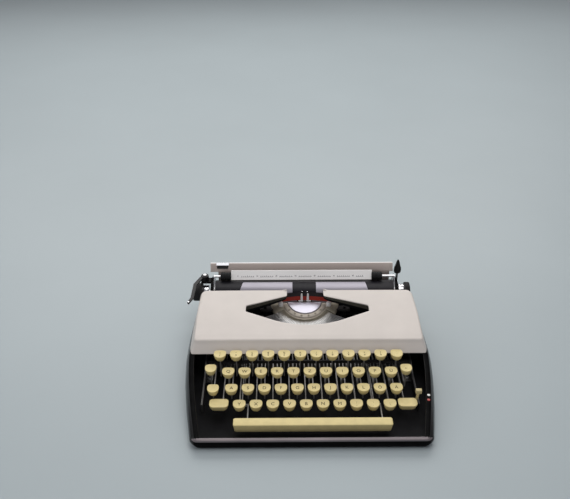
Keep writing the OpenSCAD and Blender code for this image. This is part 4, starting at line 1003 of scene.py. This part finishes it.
# roller on its axle, with a bright disc at each end
s = Shape()
s.lathe([(0, PLATEN_X0), (15.0, PLATEN_X0), (15.4, PLATEN_X0 + 0.15)]
        + [(PLATEN_R, t) for t in steps(PLATEN_X0 + 0.6, PLATEN_X1 - 0.6, 40)]
        + [(15.4, PLATEN_X1 - 0.15), (15.0, PLATEN_X1), (0, PLATEN_X1)], ROLLER_AXIS, "x", 96)
for x0, x1 in ((-145.0, PLATEN_X0), (PLATEN_X1, 135.0)):
    s.lathe([(0, x0), (3.7, x0), (4, x0 + 0.3), (4, x1 - 0.3), (3.9, x1), (0, x1)], ROLLER_AXIS, "x", 40, 1)
for x0, d in ((PLATEN_X0 + 0.02, -1), (PLATEN_X1 - 0.02, 1)):
    s.lathe([(4, x0), (12.6, x0), (12.6, x0 + d * 0.5), (12.2, x0 + d * 0.7), (4, x0 + d * 0.7)],
            ROLLER_AXIS, "x", 48, 1)
piece("roller", s, [RUBBER, STEEL], "platen_body", ["platen"])


def knob(s, x, d, length):
    """A bright collar, then the grip with its fine ribs; d is the way outwards."""
    stretch = (length - 8) / 13
    collar = [(4.1, 0), (9.1, 0), (9.5, 0.4), (9.5, 2.6), (9.0, 3.1), (9.0, 3.5), (9.5, 4.0), (9.5, 7.4),
              (9.2, 7.9), (4.1, 7.9)]
    s.lathe([(r, x + d * t) for r, t in collar], ROLLER_AXIS, "x", 64, 1, ring=True)
    ribs = 48
    n = ribs * 4
    rings = []
    # radius, distance from the collar's start, depth of the ribs
    for r, t, depth in ((10.6, 8.0, 0.0), (11.5, 8.3, 0.3), (11.9, 9.0, 1.0), (12.0, 10.0, 1.0),
                        (12.0, 14.5, 1.0), (12.0, 19.4, 1.0), (11.7, 20.3, 0.7), (11.0, 20.85, 0.1),
                        (9.4, 21.0, 0.0), (8.8, 20.6, 0.0), (8.4, 20.4, 0.0), (4.0, 20.4, 0.0),
                        (3.6, 20.7, 0.0), (0.05, 20.8, 0.0)):
        ring = []
        for a in (2 * pi * i / n for i in range(n)):
            rr = r - 0.32 * depth * (0.5 - 0.5 * cos(a * ribs))
            ring.append((x + d * (8 + (t - 8) * stretch), PLATEN_Y + rr * cos(a), PLATEN_Z + rr * sin(a)))
        rings.append(ring)
    s.rings(rings)


s = Shape()
knob(s, -128.9, -1, 21)
knob(s, 123.2, 1, 15)
piece("knob_pair", s, [KNOB, CHROME], "platen_body", ["platen_knobs"], angle=38)

# paper table: an S-shaped sheet with a rolled upper edge, and two narrow wings beside its upper part
TABLE_X0, TABLE_X1 = -117.5, 113.5
front = [(252, 31.1), (251.2, 38), (250.6, 45), (250.35, 52), (250.3, 58), (250.4, 62), (250.7, 65),
         (251.5, 67.2), (253.4, 69.8), (255.6, 72.3), (257.6, 74.2), (258.3, 74.6), (259.1, 74.5)]
back = [(259.5, 74.0), (259.2, 73.4), (258.4, 72.9), (256.5, 70.8), (254.6, 68.4), (253.0, 66.2), (252.1, 63.5),
        (251.9, 60), (251.95, 52), (252.1, 47), (252.7, 39), (253.6, 31.1)]
wing = [p for p in front + back if p[1] > 64.9]
s = Shape()
for loop, x0, x1, n in ((front + back, TABLE_X0, TABLE_X1, 24), (wing, -127.9, TABLE_X0 + 0.1, 4),
                        (wing, TABLE_X1 - 0.1, 117.9, 4)):
    s.rings([[(xx, y, z) for y, z in loop] for xx in steps(x0, x1, n)])
for i, f in enumerate(s.f):
    if min(s.v[k][2] for k in f) > 73.2:
        s.m[i] = 1
piece("paper_table_sheet", s, [TAUPE, SCALE], "carriage", ["paper_table"], angle=50)
s = Shape()
s.prism([(255.6, 72.4), (257.6, 74.8), (257.5, 75.6), (256.6, 75.9), (254.6, 72.6), (254.9, 72.0)], -120, -103)
s.prism([(252.1, 69.2), (254.9, 72.6), (254.5, 73.0), (251.7, 69.6)], -119, -104, "x", 1)
piece("paper_side_guide", s, [CHROME, KNOB], "carriage", bevel=0.2)

# Paper bail

BAIL_AXIS = (0, BAIL_Y, BAIL_Z)
s = Shape()
s.lathe([(0, -121.6), (1.2, -121.6), (1.5, -121.3), (1.5, 117.3), (1.2, 117.6), (0, 117.6)], BAIL_AXIS, "x", 28)
for ax in (-121.1, 117.1):
    s.prism([(219, 51), (219.4, 52.4), (232.5, 69.6), (233.8, 70.4), (237.2, 70.4), (238.4, 69.4),
             (238.2, 67.6), (225, 49), (223, 48), (221, 48), (219.5, 49)], ax - 0.5, ax + 0.5)
for x0, x1 in ((-125.9, -121.2), (117.2, 121.9)):
    s.lathe([(0, x0), (1.5, x0), (1.5, x1), (0, x1)], (0, *BAIL_PIVOT), "x", 24)
piece("bail_rod", s, CHROME, "bail", ["paper_bail"], bevel=0.12)

SCALE_X0, SCALE_X1 = -99.0, 87.5


def strip_y(z):
    """The strip's front face leans back from its lower edge."""
    return 233.2 + 0.56 * (z - BAIL_Z)


s = Shape()
s.rings([[(xx, strip_y(z), z) for z in (65.0, 65.3, 67, 69, 71, 75.5, 75.8)]
         + [(xx, strip_y(z) + 0.7, z) for z in (75.8, 70, 65.0)] for xx in steps(SCALE_X0, SCALE_X1, 30)])
for xx in (SCALE_X0 + 3, SCALE_X1 - 3):
    s.box((xx - 1.5, BAIL_Y - 1, BAIL_Z - 2), (xx + 1.5, BAIL_Y + 1.2, BAIL_Z + 2))
piece("bail_scale", s, SCALE, "bail")

# a comb of marks with a base line, and a figure at every tenth mark
marks = Shape()
first, last, step = -90.0, 77.0, 2.54
count = int((last - first) / step)
for k in range(count + 1):
    xx = first + k * step
    if 2 <= k % 10 <= 8:
        top = 70.2 if k % 5 == 0 else 69.7
        for x0, x1, z0, z1 in ((xx - 0.2, xx + 0.2, 68.6, top), (xx - step / 2, xx + step / 2, 68.3, 68.6)):
            marks.add([(x0, 0, z0), (x1, 0, z0), (x1, 0, z1), (x0, 0, z1)], [(0, 1, 2, 3)])
for k in range(0, count + 1, 10):
    points, faces = lettering(str(k), size=2.7, resolution_u=2)
    marks.add([(first + k * step + p.x, 0, 69.4 + p.y) for p in points], faces)
marks.v = [(x, strip_y(z) - 0.05, z) for x, y, z in marks.v]
piece("scale_marks", marks, SCALE_INK, "bail", angle=30, merge=False)

s = Shape()
tyre = [(1.62, 0), (4.6, 0), (5.3, 0.5), (5.5, 1.2), (5.5, 6.2), (5.2, 6.6), (5.2, 7.4), (5.5, 7.8),
        (5.5, 12.8), (5.3, 13.5), (4.6, 14), (1.62, 14)]
for x0 in (-113.0, 87.0):
    s.lathe([(r, x0 + t) for r, t in tyre], BAIL_AXIS, "x", 48, ring=True)
piece("bail_roller_set", s, ROLLER, "bail_roller_pair", ["bail_rollers"])

# Levers of the carriage and small parts

s = Shape()
s.lathe([(2.6, 62.5), (4.7, 62.5), (5, 62.8), (5, 69.1), (4.6, 69.5), (2.6, 69.5)], (RETURN_X, RETURN_Y, 0),
        "z", 36, ring=True)
s.prism([(-129.95, 238), (-131.5, 240), (-134, 240.8), (-136.6, 240), (-137.95, 238), (-142.5, 228.5),
         (-147.0, 218.5), (-147.5, 210), (-148, 188), (-149.5, 183), (-151.3, 178.9), (-151.2, 177.6),
         (-150.2, 176.8), (-149, 176.8), (-147.6, 179), (-144, 187.7), (-143.5, 205), (-143.1, 214.5),
         (-141.5, 219), (-136.95, 230)], 66.6, 68.8, "z")
s.lathe([(0, 69.4), (1.2, 69.4), (1.6, 69.0), (1.6, 68.7), (0, 68.7)], (RETURN_X, RETURN_Y, 0.4), "z", 24, 1)
s.lathe([(0, 65.6), (1.0, 65.6), (1.4, 65.9), (1.4, 66.6), (0, 66.6)], (-150, 177.7, 0), "z", 24, 1)
s.lathe([(0, 69.3), (0.7, 69.3), (1.2, 69.1), (1.3, 68.7), (0, 68.7)], (-149.7, 178.4, 0), "z", 24, 1)
piece("return_lever_blade", s, [KNOB, CHROME], "return_lever_body", ["return_lever"], bevel=0.4,
      seg=3)

s = Shape()
rx0, rx1 = 122.4, 124.0
s.lathe([(1.6, rx0), (3.8, rx0), (4, rx0 + 0.2), (4, rx1 - 0.2), (3.8, rx1), (1.6, rx1)], RELEASE_AXIS, "x", 36,
        ring=True)
s.prism([(242.6, 50), (243.2, 56), (244.5, 66), (245.6, 77), (247.6, 77), (248.8, 66), (249.4, 56),
         (249.4, 50)], rx0, rx1)
s.prism(mirrored([(1.2, 64.3), (3.4, 65.2), (4.6, 67.5), (4.8, 70.5), (4.4, 74), (3.3, 77), (2.6, 80), (2, 83),
                  (1, 85.4), (0, 86)], (rx0 + rx1) / 2), 245.6, 247.6, "y")
piece("release_lever_blade", s, [KNOB, CHROME], "release_lever_body", ["paper_release_lever"],
      bevel=0.35, seg=3)

s = Shape()
sx = 122.675
s.prism([(56.5, 9), (53.2, 22), (51, 30), (50.4, 34), (50.3, 36.6), (51.6, 37.5), (54.2, 37.6), (55.4, 36.6),
         (55.4, 33), (56, 30), (58.6, 22), (63.5, 9), (61.8, 8.4), (58.2, 8.4)], sx - 0.8, sx + 0.8)
s.prism([(50.95, 32), (50.6, 36.6), (51.6, 37.3), (54.4, 37.4), (55.0, 36.8), (55.6, 32)], sx - 3.3, sx + 3.3)
piece("selector_tab", s, SELECTOR, "selector_body", ["ribbon_selector"], bevel=0.35, seg=3)

# the CAD nodes that stay as they are get the same procedural materials
LOOKS = {"main_frame": DARK_STEEL, "key_comb": DARK_STEEL, "carriage_rail": STEEL, "mainspring_drum": STEEL,
         "escapement_wheel": STEEL, "feed_rollers": RUBBER, "left_spool": DARK_STEEL, "right_spool": DARK_STEEL}
for name, m in LOOKS.items():
    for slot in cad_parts[name].material_slots:
        slot.material = m
